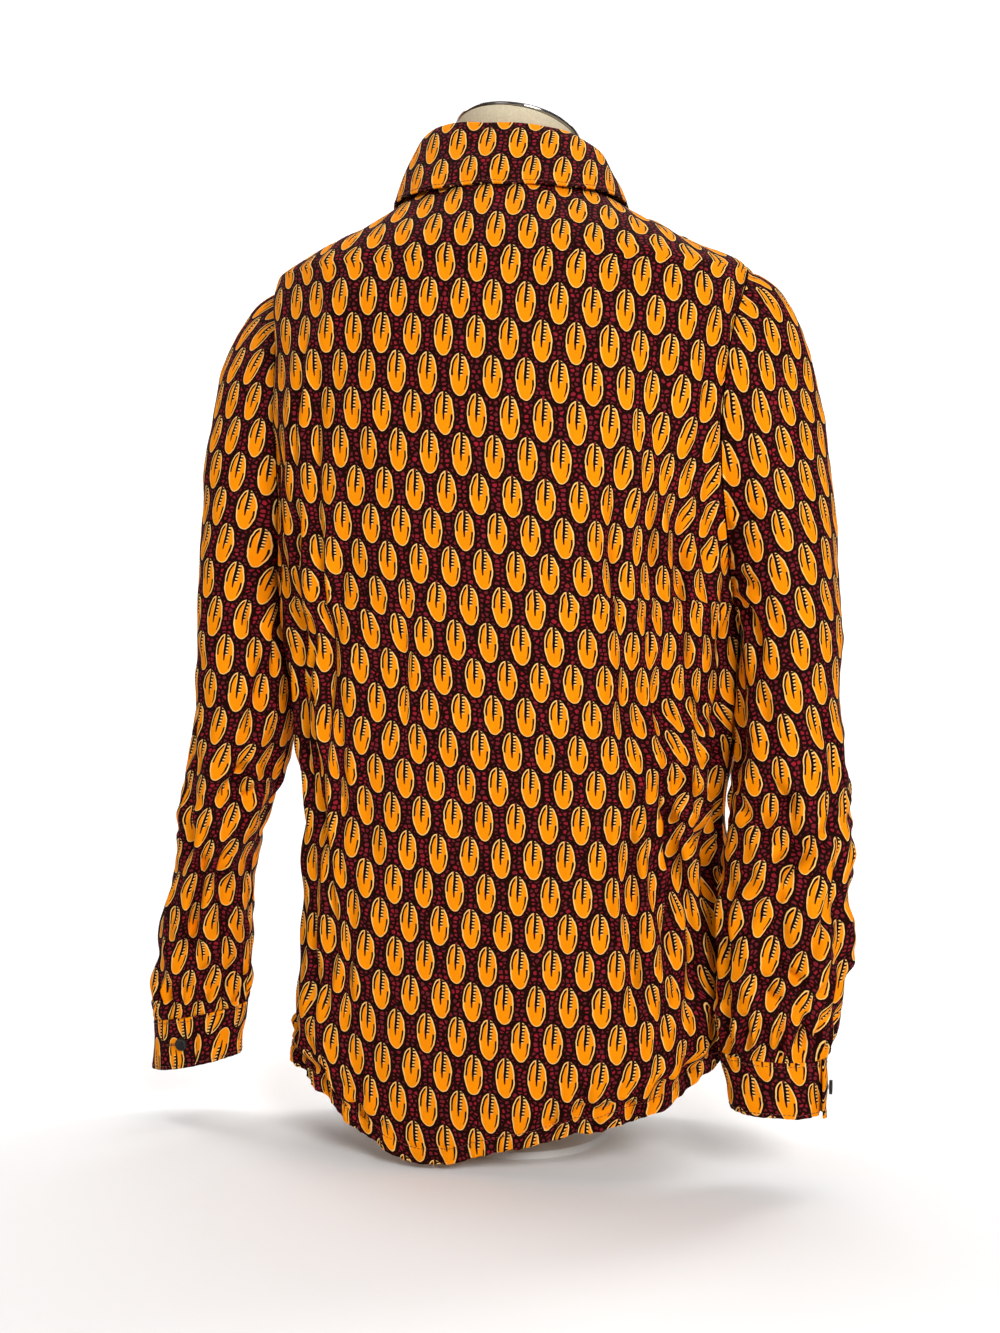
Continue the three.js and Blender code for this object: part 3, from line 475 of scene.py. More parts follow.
def flattened(p, u, v, skip, rounds):
    """Print coordinates relaxed towards the lengths on the grid."""
    coarse = p[::skip, ::skip]
    flat = np.stack([u[::skip, ::skip], v[::skip, ::skip]], -1)
    a, b = slice(None, -1), slice(1, None)
    every = slice(None)
    pairs = [((every, a), (every, b)), ((a, every), (b, every)), ((a, a), (b, b)), ((a, b), (b, a))]
    rests = [np.linalg.norm(coarse[i] - coarse[j], axis=-1) for i, j in pairs]
    for _ in range(rounds):
        move, count = np.zeros_like(flat), np.zeros(flat.shape[:2] + (1,))
        for (i, j), rest in zip(pairs, rests):
            apart = flat[j] - flat[i]
            length = np.maximum(np.linalg.norm(apart, axis=-1), 1e-6)
            step = (0.5 * (length - rest) / length)[..., None] * apart
            move[i] += step
            move[j] -= step
            count[i] += 1
            count[j] += 1
        flat = flat + 1.6 * move / count
    rows, columns = np.arange(p.shape[0]) / skip, np.arange(p.shape[1]) / skip
    low = np.minimum(rows.astype(int), len(flat) - 2)
    left = np.minimum(columns.astype(int), flat.shape[1] - 2)
    t, q = (rows - low)[:, None, None], (columns - left)[None, :, None]
    lower = flat[low][:, left] * (1 - q) + flat[low][:, left + 1] * q
    upper = flat[low + 1][:, left] * (1 - q) + flat[low + 1][:, left + 1] * q
    full = lower * (1 - t) + upper * t
    return full[..., 0], full[..., 1]


def creased(u, v, creases):
    """Each crease runs from (u0, v0) to (u1, v1) bowed sideways, a groove between two soft ridges."""
    total = np.zeros_like(u)
    for u0, v0, u1, v1, bow, width, depth in creases:
        along = np.array([u1 - u0, v1 - v0], float)
        length = np.hypot(*along)
        along /= length
        t = ((u - u0) * along[0] + (v - v0) * along[1]) / length
        off = (u - u0) * along[1] - (v - v0) * along[0] - bow * 4 * t * (1 - t)
        taper = np.where((t > 0) & (t < 1), np.sin(np.pi * np.clip(t, 0, 1)) ** 0.8, 0)
        s = off / width
        total += depth * taper * (0.5 * bell(s - 1.7, 1) + 0.35 * bell(s + 1.9, 1.1) - bell(s, 1))
    return total


def rumpled(u, v, size, stretch=1.0, waves=20):
    """Soft irregular waves of about that size in mm, longer by stretch along v."""
    total = np.zeros_like(u)
    for _ in range(waves):
        heading, phase = chance.uniform(0, math.pi), chance.uniform(0, 2 * math.pi)
        k = 2 * math.pi / (size * chance.uniform(0.7, 1.6))
        total += np.sin(k * (np.cos(heading) * u + np.sin(heading) * v / stretch) + phase)
    return total / math.sqrt(waves / 2)


def puckered(along, distance, reach, size=9.0):
    """Gathers close to a line of stitching."""
    wave = np.zeros_like(along)
    for _ in range(6):
        k = 2 * math.pi / (size * chance.uniform(0.7, 1.5))
        wave += np.sin(k * along + chance.uniform(0, 6.3) + 0.02 * distance)
    return wave / 2 * np.exp(-distance / reach)


def held_off(d, z):
    """Above the chest the form is close inside, so hollows there are shallow."""
    close = smooth((z - 600) / 120)
    shallow = np.where(d < 0, -1.3 * np.tanh(-d / 1.3), d)
    return d * (1 - close) + shallow * close


def raised(p, d):
    """The grid's points moved out by d mm."""
    return p + grid_normals(p) * d[..., None]


def make_cloth(name, stands_for, p, u, v, thickness, material, tube=False, **sheet):
    """A thin wall in mm from the grid: outside, inside and rims, with its print coordinates."""
    rows, columns = u.shape
    n = grid_normals(p)
    if tube:
        mean = n[:, 0] + n[:, -1]
        n[:, 0] = n[:, -1] = mean / np.linalg.norm(mean, axis=-1, keepdims=True)
    points = np.concatenate([p.reshape(-1, 3), (p - n * thickness).reshape(-1, 3)])
    index = np.arange(rows * columns).reshape(rows, columns)
    inner = rows * columns
    corners = np.stack([index[:-1, :-1], index[:-1, 1:], index[1:, 1:], index[1:, :-1]], -1).reshape(-1, 4)
    faces = [corners, corners[:, ::-1] + inner]
    for line in (index[0], index[-1, ::-1], index[::-1, 0], index[:, -1])[: 2 if tube else 4]:
        faces.append(np.stack([line[1:], line[:-1], line[:-1] + inner, line[1:] + inner], -1))
    faces = np.concatenate(faces)
    joined = np.where(faces % columns == columns - 1, faces - columns + 1, faces) if tube else faces
    piece = finished(name, points, joined.tolist(), material, stands_for, 60)
    coordinates = np.stack([np.tile(u.reshape(-1), 2), np.tile(v.reshape(-1), 2)], -1) / 1000
    layer = piece.data.uv_layers.new(name="cloth")
    layer.data.foreach_set("uv", coordinates[faces.reshape(-1)].astype(np.float32).reshape(-1))
    return piece


# ---- Back ----
# One piece with a curved tail hem and no yoke. It hangs smooth in the middle and falls in upright
# folds towards the wearer's right, where the shirt is turned a little on the form.
columns, rows = 190, 260
share = np.linspace(1, -1, columns)
row = body_rows(rows)[:, None]
left_edge = panel_start(row, 1, -1, 21)
right_edge = panel_start(row, -1, 1, 21)
bent = np.sign(share) * np.abs(share) ** 1.25
angle = np.where(bent[None, :] >= 0, left_edge * bent[None, :], -right_edge * bent[None, :])
back = np.where(
    (bent >= 0)[None, :, None], row_point(row + 0 * angle, 1, angle), row_point(row + 0 * angle, -1, angle)
)
PRINT_START = 561  # height at which the lengths along the print are 0
middle = columns // 2
level = int(np.argmin(np.abs(back[:, middle, 2] - PRINT_START)))
u, v = cloth_lengths(back, middle, level)
z = back[..., 2]
# From (across, height) to (across, height), bow, width and depth, all in mm.
creases = [
    (-126, 520, -140, 205, 7, 5.5, 6.2), (-148, 540, -158, 300, -5, 5, 5.0), (-66, 486, -76, 362, 4, 6, 2.8),
    (-142, 420, -150, 640, -5, 6, 4.6), (-160, 320, -142, 470, 5, 5, 4.2), (-172, 240, -160, 400, -4, 5, 4.6),
    (-150, 150, -164, 300, 4, 6, 4.4), (-168, 90, -176, 240, -3, 5, 4.4), (-186, 380, -152, 462, 5, 5, 4.4),
    (-134, 110, -140, 220, 3, 6, 3.4), (-178, 560, -160, 700, -4, 5, 3.4), (-60, 640, -110, 790, 10, 12, 1.8),
    (-108, 300, -96, 190, 5, 8, 2.4), (-20, 250, -46, 330, 6, 14, 1.6), (-112, 640, -100, 540, 4, 8, 1.8),
    (97, 610, 104, 300, 5, 5.5, 4.6), (100, 330, 108, 120, -5, 5.5, 5.2), (118, 600, 112, 330, -6, 5, 4.2),
    (134, 620, 138, 340, 6, 5.5, 5.6), (136, 360, 142, 130, -6, 5.5, 5.6), (154, 580, 168, 340, 5, 5.5, 5.4),
    (168, 560, 186, 700, 4, 5, 4.4), (124, 322, 142, 180, 7, 5.5, 4.8), (120, 120, 150, 300, 8, 6, 4.6),
    (160, 110, 152, 270, 5, 6, 5.2), (176, 180, 160, 350, 6, 6, 5.4), (112, 640, 150, 740, -6, 7, 3.0),
    (150, 345, 184, 288, 4, 5, 5.0), (184, 340, 148, 300, 5, 5, 4.4), (176, 262, 132, 300, 6, 5, 4.2),
    (186, 370, 146, 412, -5, 5, 4.4), (182, 430, 150, 470, 5, 5, 4.2), (186, 500, 160, 540, -4, 5, 3.6),
    (84, 300, 90, 170, 4, 7, 2.6), (70, 660, 128, 780, -10, 12, 2.2), (30, 210, 62, 290, -6, 12, 1.6),
]  # fmt: skip
hem_off = z - z[:1, :]
wide = np.abs(u) / 200
d = creased(u, z, creases)
d += rumpled(u, z, 60, 1.6) * (0.35 + 1.2 * smooth((wide - 0.35) / 0.5))
d += rumpled(u, z, 22, 1.8) * 0.5 * smooth((wide - 0.4) / 0.4)
crowded = smooth((u - 84) / 30) * smooth((z - 60) / 60) * smooth((620 - z) / 90)
crowded += 0.8 * smooth((-104 - u) / 30) * smooth((z - 80) / 60) * smooth((600 - z) / 90)
d += rumpled(u + 9 * np.sin(z / 47), z, 17, 5.0) * 1.7 * crowded
d += rumpled(u, z, 30, 1.2) * 1.8 * smooth((u - 96) / 30) * bell(z - 300, 80)
d += puckered(u, hem_off, 12, 12) * (0.6 + 0.9 * smooth((u + 60) / 50)) + hemmed(hem_off)
pulled = smooth((np.abs(u + 25) - 42) / 50) * bell(hem_off - 16, 19)
d += pulled * (3.3 * np.sin(u / 5.4 + z / 15) + 2.2 * np.sin(u / 3.4 - z / 19))
lip = hem_off - 18 - 3 * np.sin(u / 10) - 2 * np.sin(u / 5.3 + 1)  # above the fold that the hem pulls up
lipped = smooth((np.abs(u + 25) - 48) / 45)
d += lipped * (3.2 * bell(lip - 5, 4) - 2.6 * bell(lip + 3, 3.5))
for edge in (0, columns - 1):
    from_seam = np.abs(u - u[:, edge : edge + 1])
    d += puckered(z, from_seam, 8, 12) * 0.7 * smooth((z - 440) / 40)
fade = smooth(np.minimum(np.abs(u - u[:, :1]), np.abs(u - u[:, -1:])) / 5)
d = d * fade - 0.6 * (1 - fade)
d = held_off(d, z)
back_outside = raised(back, d - 0.3)
ripple = np.sin(u / 9 + 1) + 0.7 * np.sin(u / 4.7) + 0.5 * np.sin(u / 17)
back_outside[..., 2] += ripple * np.exp(-hem_off / 12) * (0.6 + 0.9 * smooth((u - 20) / 60))
tilt = 0.028 + 0.06 * smooth((z - 230) / 260)
more_u, more_v = taken_up(back_outside, back, middle, level, 1.15)
steep = 0.75 * smooth((z[1:] - 715) / 60)  # the yoke's slope shortens the print little
v = v - running((np.diff(v, axis=0) - np.diff(z, axis=0)) * steep, 0)
v = np.where(v < 0, v * 1.065, v)
v -= 10 * lipped * (1 - smooth((lip + 1.5) / 3))
tucks = [
    (104, 300, 97, 620, 12), (118, 330, 126, 740, 7), (136, 300, 134, 700, 10), (160, 310, 150, 650, 7),
    (106, 110, 100, 320, 8), (132, 60, 128, 300, 8), (152, 90, 156, 330, 10), (172, 180, 170, 520, 10),
    (-146, 240, -140, 560, 9), (-164, 160, -158, 420, 9), (-74, 330, -68, 500, 6), (-140, 90, -136, 260, 7),
]  # fmt: skip
u = u + tucked(u, z, tucks)
u = u + lipped * 3.5 * np.sin(u / 6.5 + 2) * bell(hem_off - 10, 12)
make_cloth(
    "shirt_back", "back", back_outside, u + more_u + 0.02 * v + 4, v + more_v + tilt * u + 9, COTTON,
    smooth_cotton, flat=(0.53, 0.87), area=0.4, held="hung", rests_on=["form_torso"],
)  # fmt: skip

# ---- Fronts ----
# Two plain fronts. The left one laps over the right one at the middle, where they button.
FRONT_END, LAP_STEP = 182.6, 2.0  # degrees to the opening's edge, and how far the lap stands out
START_ROW = 150  # the grid's row where the lengths along the fronts' and the placket's print are 0
front_outsides = []
for name, side in (("front_left", 1), ("front_right", -1)):
    columns, rows = 100, 250
    row = body_rows(rows)[:, None]
    start = panel_start(row, side, side, 28)
    t = np.linspace(1, 0, columns)[None, :] if side > 0 else np.linspace(0, 1, columns)[None, :]
    first = np.abs(180 - side * start) ** 0.8
    q = first * (1 - t) - (FRONT_END - 180) ** 0.8 * t
    angle = side * (180 - np.sign(q) * np.abs(q) ** 1.25)
    out = LAP_STEP * smooth((9 - (FRONT_END - side * angle)) / 2.8) if side > 0 else 0
    front = row_point(row + 0 * angle, side, angle, out)
    seam_column = columns - 1 if side > 0 else 0
    middle_column = 0 if side > 0 else columns - 1
    u, v = cloth_lengths(front, middle_column, START_ROW)
    z = front[..., 2]
    creases = [
        (side * 60, 640, side * 130, 560, 8, 12, 1.8), (side * 90, 500, side * 150, 430, -8, 10, 2.4),
        (side * 150, 440, side * 128, 250, 6, 8, 3.2), (side * 172, 400, side * 160, 180, -5, 7, 3.2),
        (side * 118, 300, side * 128, 110, 5, 8, 2.6), (side * 176, 560, side * 150, 640, 6, 7, 2.6),
        (side * 168, 640, side * 120, 700, -6, 9, 1.8), (side * 60, 220, side * 74, 90, 5, 10, 1.8),
        (side * 150, 330, side * 180, 360, 4, 6, 2.8), (side * 30, 420, side * 70, 380, -5, 10, 1.2),
    ]  # fmt: skip
    wide = np.abs(u) / 200
    d = 1.6 * creased(u, z, creases) + rumpled(u, z, 60, 1.6) * (0.35 + 1.1 * smooth((wide - 0.4) / 0.5))
    d += rumpled(u, z, 22, 1.8) * 0.45 * smooth((wide - 0.4) / 0.4)
    d += puckered(u, z - z[:1, :], 12, 12) * 0.6 + hemmed(z - z[:1, :])
    from_seam = np.abs(u - u[:, seam_column : seam_column + 1])
    d += puckered(z, from_seam, 7, 12) * 0.5
    fade = smooth(from_seam / 5) * smooth((np.abs(u - u[:, middle_column : middle_column + 1]) - 22) / 30)
    d = held_off(d * fade - 0.6 * (1 - smooth(from_seam / 5)), z)
    p = raised(front, d - 0.3)
    front_outsides.append(p)
    more_u, more_v = taken_up(p, front, middle_column, START_ROW, 0.9)
    make_cloth(
        "shirt_" + name, name, p, u + more_u, v + more_v + 6, COTTON, smooth_cotton, flat=(0.32, 0.83),
        area=0.18 if side > 0 else 0.195, held="hung", rests_on=["form_torso"],
    )  # fmt: skip

# ---- Front placket ----
# A folded band, 32 mm wide, stitched along both edges of the left front's opening.
PLACKET_TURN, PLACKET_OUT = 5.4, LAP_STEP + 2.1  # its width in degrees, and how far it stands out
columns, rows = 14, 250
row = body_rows(rows)[:, None]
from_end = np.linspace(0.1, PLACKET_TURN, columns)[None, :]
angle = FRONT_END - from_end + 0 * row


def placket_point(row, share):
    """A point on the outside of the placket: share is 0 at its inner edge and 1 at the opening."""
    angle = FRONT_END - PLACKET_TURN + (PLACKET_TURN - 0.1) * np.asarray(share, float)
    return row_point(np.asarray(row, float), 1, angle, PLACKET_OUT)


BUTTON_ROWS = (3.4, 6, 8.6, 11.2, 14.4, 18)
placket = row_point(row + 0 * angle, 1, angle, PLACKET_OUT)
u, v = cloth_lengths(placket, 0, START_ROW)
d = puckered(v, np.abs(u - 3), 4, 8) * 0.16 + puckered(v, np.abs(u.max() - 3 - u), 4, 8) * 0.16
placket_outside = raised(placket, d - 0.2)
make_cloth(
    "shirt_placket", "front_placket", placket_outside, u + 6, v + 20, STIFFENED, smooth_cotton,
    flat=(0.034, 0.76), area=0.024, held="hung", rests_on=["shirt_front_left"],
)  # fmt: skip

# ---- Sleeves ----
# Long sleeves, set into the armholes and gathered into the cuffs. The stuffed-looking bends at the
# elbows are where the cloth has collapsed: nothing is inside them.
# Centre line and half widths by height: x outwards, y, across, front to back, and roll.
SLEEVE_LEFT = np.array([
    (450, 240, 2, 41, 62, 0), (410, 239, 0, 42, 62, 0), (372, 240, -3, 43.5, 61, 0),
    (335, 249, -7, 42.5, 59, 0), (298, 259, -10, 40.5, 57, 0.02), (261, 267, -14, 33.5, 55, 0.05),
    (224, 276.5, -17, 35, 51, 0.08), (187, 284, -20, 39, 47, 0.1), (149, 287, -23, 42.5, 43, 0.13),
    (116, 291.5, -24, 44, 36, 0.17), (96, 293.5, -25, 44, 31, 0.2),
])  # fmt: skip
SLEEVE_RIGHT = np.array([
    (450, 242, 14, 41, 61, 0), (412, 239, 20, 42, 60, 0), (380, 237, 27, 43, 58, 0),
    (348, 238, 34, 45, 55, 0), (316, 239.5, 41, 48.5, 52, 0), (284, 238.5, 46, 50.5, 50, 0.02),
    (253, 237, 50, 51.5, 48, 0.03), (221, 234.5, 53, 52, 47, 0.04), (189, 234.5, 55, 53, 46, 0.04),
    (157, 231.5, 57, 51, 44, 0.03), (128, 229, 58, 48.5, 38, 0.02), (106, 225.5, 58, 42.5, 31, 0.02),
])  # fmt: skip
FOLDS_LEFT = [
    (150, -6, 16, 7, 240, 330), (120, 10, 13, -6, 250, 420), (60, 8, 14, -5, 180, 400),
    (100, -8, 13, -4, 90, 240), (20, 0, 15, 4, 90, 200), (240, 6, 16, -6, 120, 420),
    (300, -6, 16, 5, 150, 400),
]  # fmt: skip
FOLDS_RIGHT = [
    (160, -4, 14, -7, 260, 430), (120, 6, 14, 5, 120, 340), (92, -8, 12, -7, 170, 320),
    (55, 10, 14, 5, 150, 330), (30, 6, 13, -6, 120, 290), (240, 4, 16, -6, 120, 420),
    (300, -4, 16, 5, 150, 400),
]  # fmt: skip
# Smaller creases: from (across, height) to (across, height), bow, width, depth. Across is 0 at the
# middle of the sleeve's back and grows to the viewer's right.
CREASES_LEFT = [
    (40, 330, 12, 298, 4, 6, 4.2), (48, 316, 18, 288, -4, 6, 3.8), (16, 345, 26, 300, -4, 6, 3.6),
    (-44, 318, -40, 262, 4, 6, 3.2), (-20, 300, 14, 292, 5, 7, 2.2), (8, 246, 0, 212, 3, 6, 3.4),
    (2, 204, -6, 150, -4, 6, 4.0), (30, 206, 38, 176, 5, 6, 3.0), (-30, 240, -44, 180, 4, 7, 2.6),
    (30, 150, 8, 128, 3, 5, 3.2), (-38, 128, -26, 104, 2, 4, 2.8), (-20, 132, -18, 104, 2, 4, 3.0),
    (-6, 128, -8, 102, -2, 4, 2.6), (8, 134, 4, 103, 2, 4, 3.2), (22, 130, 14, 104, 2, 4, 2.8),
    (36, 136, 26, 106, -2, 4, 2.8), (44, 430, 30, 350, 4, 7, 3.6), (56, 470, 44, 390, -4, 6, 3.2),
    (20, 470, 40, 440, 4, 7, 2.2), (-30, 540, 20, 520, 6, 12, 1.2), (36, 560, 44, 480, 4, 6, 2.2),
    (-40, 430, -10, 410, 5, 9, 1.6), (-50, 380, -36, 330, -4, 7, 2.2), (120, 330, 90, 300, 5, 7, 3.4),
    (-110, 330, -80, 290, -5, 8, 3.0), (-120, 240, -90, 200, 5, 8, 2.8), (110, 240, 90, 180, 4, 7, 2.8),
    (-60, 132, -54, 104, 2, 4, 2.6), (60, 134, 56, 104, 2, 4, 2.6), (86, 130, 80, 104, 2, 5, 2.4),
    (-90, 132, -84, 104, -2, 5, 2.4), (6, 304, -2, 150, -4, 4.5, 3.4), (22, 262, 30, 196, 3, 5, 2.6),
]  # fmt: skip
CREASES_RIGHT = [
    (-62, 512, -18, 478, 5, 7, 3.4), (-60, 498, -30, 410, -5, 7, 3.4), (-66, 540, -40, 524, 3, 5, 2.6),
    (-16, 546, 2, 528, 3, 5, 2.6), (-64, 580, -44, 560, 3, 6, 2.2), (-20, 440, 22, 424, 5, 10, 1.3),
    (-20, 330, 2, 290, -6, 6, 4.6), (12, 322, -22, 276, 5, 6, 3.8), (-48, 312, 10, 284, 6, 7, 3.6),
    (44, 306, 0, 268, -6, 7, 3.8), (-36, 250, 24, 280, 5, 7, 3.4), (-44, 204, 4, 240, -5, 6, 3.6),
    (-8, 190, 24, 170, 3, 4.5, 4.8), (-28, 184, 14, 148, 5, 6, 3.8), (36, 232, 8, 180, -5, 6, 3.4),
    (-54, 240, -46, 146, 4, 6, 3.4), (52, 260, 40, 200, 4, 6, 3.0), (46, 190, 26, 150, -3, 6, 3.2),
    (-46, 152, -38, 114, 2, 4.5, 3.2), (-28, 148, -20, 112, -2, 4, 3.2), (-10, 152, -4, 112, 2, 4, 3.6),
    (8, 146, 6, 112, 2, 4, 3.2), (24, 150, 18, 113, -2, 4.5, 3.4), (42, 146, 34, 114, 2, 4, 3.0),
    (-20, 400, -6, 340, 5, 9, 2.0), (30, 380, 44, 310, -5, 8, 2.4), (-30, 620, 0, 560, -6, 14, 1.2),
    (120, 330, 90, 290, 5, 7, 3.2), (-110, 320, -80, 290, -5, 7, 3.2), (-118, 230, -92, 190, 5, 7, 2.8),
    (112, 240, 92, 180, 4, 7, 2.8), (-66, 146, -60, 114, 2, 4, 2.6), (62, 144, 58, 114, 2, 4, 2.6),
    (88, 142, 82, 114, 2, 5, 2.4), (-92, 144, -86, 114, -2, 5, 2.4),
]  # fmt: skip
BICEPS = 440
PRINT_LEAN = {"left": (-5, -6), "right": (-11, 17)}  # degrees the print turns below and above the elbow


def tube_point(side, table, folds, angle, z, out=0):
    c, s = np.cos(np.radians(angle)), np.sin(np.radians(angle))
    push = out + fold_depth(folds, angle, z)
    wide = read(table, 3, z) + push
    x, y = read(table, 1, z) + wide * c, read(table, 2, z) + (read(table, 4, z) + push) * s
    return np.stack([side * x, y, z - read(table, 5, z) * wide * c], axis=-1)


def armhole_point(side, angle):
    """The armhole's edge: angle 0 is the shoulder tip, 180 the armpit, and the back comes first."""
    steps = (np.asarray(angle, float) / 22.5) % 16
    at_back = steps <= 8
    row = 12 + np.where(at_back, 8 - steps, steps - 8)
    start = np.where(at_back, panel_start(row, side, -side, 21), panel_start(row, side, side, 28))
    point = row_point(row, side, start)
    point[..., 0] += side * 0.5
    return point


def sleeve_point(side, head, table, folds, angle, z, t):
    """t is 0 at the armhole and 1 at the biceps; below that the height z counts."""
    below = tube_point(side, table, folds, angle, np.where(t < 1, BICEPS, z))
    start = armhole_point(side, angle)
    under = (1 - np.cos(np.radians(angle))) / 2
    reach = np.linalg.norm(start - below, axis=-1)
    leave = np.stack([side * (head + (0.16 - head) * under), 0 * under, -0.15 - 0.83 * under], -1)
    arrive = np.stack([side * 0.08 * (1 - under), 0 * under, -1 + 0 * under], -1)
    leave, arrive = leave * reach[..., None], arrive * reach[..., None]
    t = t[..., None]
    cap = start * (2 * t**3 - 3 * t**2 + 1) + leave * (t**3 - 2 * t**2 + t)
    cap += below * (3 * t**2 - 2 * t**3) + arrive * (t**3 - t**2)
    return np.where(t < 1, cap, below)


# For each sleeve: its side, how straight out it leaves the shoulder, its centre line, folds and creases,
# and the height where it ends.
SLEEVES = {
    "left": (1, 0.82, SLEEVE_LEFT, FOLDS_LEFT, CREASES_LEFT, 96),
    "right": (-1, 0.64, SLEEVE_RIGHT, FOLDS_RIGHT, CREASES_RIGHT, 106),
}
for name, (side, head, table, folds, creases, end) in SLEEVES.items():
    columns, tube_rows, cap_rows = 153, 141, 96
    angle = np.linspace(-180, 180, columns) * side
    t = np.concatenate([np.ones(tube_rows), np.linspace(1, 0, cap_rows + 1)[1:]])[:, None]
    height = np.concatenate([np.linspace(end + 0.3, BICEPS, tube_rows), np.full(cap_rows, BICEPS)])[:, None]
    grid = np.ones((tube_rows + cap_rows, columns))
    sleeve = sleeve_point(side, head, table, folds, angle[None, :] * grid, height * grid, t * grid)
    back_column = int(np.argmin(np.abs(angle - 90)))
    u, v = cloth_lengths(sleeve, back_column, tube_rows - 1)
    u[tube_rows:] = u[tube_rows - 1]
    steps = np.diff(sleeve[tube_rows - 1 :], axis=0)
    inwards, sideways = -side * steps[..., 0], np.sin(np.radians(angle))
    flat_u, flat_v = u.copy(), v.copy()
    flat_u[tube_rows:] += np.cumsum(inwards * sideways * side, axis=0)
    rest = 1 - np.abs(sideways)
    rises = np.hypot(steps[..., 2], np.hypot(inwards * rest, steps[..., 1] * rest))
    flat_v[tube_rows:] = np.cumsum(rises, axis=0)
    flat_u, flat_v = flattened(sleeve, flat_u, flat_v, 4, 10)
    z = sleeve[..., 2]
    d = 1.8 * creased(u, z, creases)
    lower = smooth((400 - z) / 120)
    d += rumpled(u, z, 48, 1.4) * (0.6 + 1.2 * lower) + rumpled(u, z, 19, 1.3) * (0.2 + 0.6 * lower)
    d += puckered(u, v - v[:1], 18, 9) * 2.1
    d += puckered(u * 1.5, v[-1:] - v, 9, 12) * 0.9 - 1.6 * np.exp(-(v[-1:] - v) / 3)
    d = d * smooth((v - v[:1]) / 5 + 0.1) * smooth((v[-1:] - v) / 5)
    seam = smooth(np.minimum(u - u[:, :1], u[:, -1:] - u) / 4)
    d = d * seam - 0.8 * (1 - seam)
    p = raised(sleeve, d - 0.3)
    p[:, 0] = p[:, -1] = (p[:, 0] + p[:, -1]) / 2
    more_u, more_v = taken_up(p, sleeve, back_column, tube_rows - 1, 0.9)
    flat_u, flat_v = flat_u + more_u, flat_v + more_v
    above_elbow = flat_v + (BICEPS - 312)
    lean_low, lean_high = PRINT_LEAN[name]
    lengths = np.linspace(-300, 500, 801)
    high = smooth((lengths + 80) / 160) * (1 - smooth((lengths - 260) / 120))
    leans = np.radians(lean_low + (lean_high - lean_low) * high)
    lean = np.interp(above_elbow, lengths, leans)
    run_u, run_v = np.cumsum(np.sin(leans)), np.cumsum(np.cos(leans))
    print_u = flat_u + np.interp(above_elbow, lengths, run_u - run_u[300])
    turned = flat_u * bell(flat_u, 100) * np.sin(lean)
    print_v = np.interp(above_elbow, lengths, run_v - run_v[300]) - turned
    make_cloth(
        "shirt_sleeve_" + name, "sleeve_" + name, p, print_u + 9 * side, print_v + 15, COTTON, worn_cotton,
        tube=True, flat=(0.36, 0.66), area=0.18, held="hung", rests_on=["shirt_back", "shirt_front_" + name],
    )  # fmt: skip

# ---- Cuffs ----
# Stiffened bands 46 mm high. Each laps over its own start and is closed with one button through a
# level buttonhole. The left one was cut with the print upside down.
# For each cuff: its sleeve, the angle of its button, and how much it narrows, flares and leans, in mm.
CUFFS = {
    "left": (SLEEVES["left"], 86, -3, 0, 4),
    "right": (SLEEVES["right"], 8, -7, 5, 2),
}
CUFF_LAP, CUFF_HIGH = 34, 46  # degrees, and mm
BUTTON_SHARE = CUFF_LAP / 2 / (360 + CUFF_LAP)  # the button's place along the cuff
cuff_outsides = {}


def cuff_point(name, share, down, out=0):
    (side, _, table, folds, _, end), button, taper, flare, lean = CUFFS[name]
    share, down = np.asarray(share, float), np.asarray(down, float)
    turned = share * (360 + CUFF_LAP)
    push = 2.7 * smooth(1 - turned / (2.2 * CUFF_LAP)) + out
    push += flare * down * smooth(1 - share * 6) + taper * down
    point = tube_point(side, table, folds, button + CUFF_LAP / 2 - turned, end + 0 * share, push)
    point[..., 2] -= CUFF_HIGH * down
    point[..., 0] += side * lean * down
    return point


for name in CUFFS:
    side = CUFFS[name][0][0]
    share = np.linspace(1, 0, 150) if side > 0 else np.linspace(0, 1, 150)
    down = np.linspace(1, 0, 28)[:, None]
    cuff = cuff_point(name, share[None, :] + 0 * down, down + 0 * share[None, :])
    u, v = cloth_lengths(cuff, 75, 0)
    d = rumpled(u, v, 30) * 0.55 + puckered(u, v, 4, 9) * 0.25 + puckered(u, v.max() - v, 6, 9) * 0.7
    d *= smooth(np.minimum(share, 1 - share) * 30)[None, :]
    from_button = np.hypot((share[None, :] - BUTTON_SHARE) * 270, (down - 0.5) * CUFF_HIGH)
    d *= 1 - bell(from_button, 11)
    cuff_outsides[name] = raised(cuff, d - 0.2)
    print_at = (-u + 14, -v + 44) if side > 0 else (u - 0.12 * v + 4, v + 0.12 * u + 9)
    make_cloth(
        "shirt_cuff_" + name, "cuff_" + name, cuff_outsides[name], *print_at, STIFFENED, smooth_cotton,
        flat=(0.27, 0.048), area=0.0115, held="folded", rests_on=["shirt_sleeve_" + name],
    )  # fmt: skip

# ---- Collar ----
# A stiffened band that stands on the neckline, and a leaf folded down over it. The leaf's edge is
# stitched 3 mm in.
FOLD_LINE = np.array([
    (0, 0, 30, 873), (30, 35, 24, 874), (60, 61, 5, 875), (90, 71, -26, 871), (120, 64, -60, 853),
    (150, 39, -88, 827), (172, 8, -101, 811), (180, 0, -102, 810),
])  # fmt: skip
LEAF_EDGE = np.array([
    (0, 34, 58), (40, 36, 60), (70, 34, 59), (90, 33, 56), (115, 34, 57), (135, 35, 60), (155, 28, 66),
    (168, 22, 68),
])  # fmt: skip


def fold_line(angle):
    size = np.abs(angle)
    sag = np.where(angle > 0, 2, 6) * np.sin(np.radians(angle)) ** 2
    x, y, z = (read(FOLD_LINE, column, size) for column in (1, 2, 3))
    return 4 + np.sign(angle) * x, y, z - sag


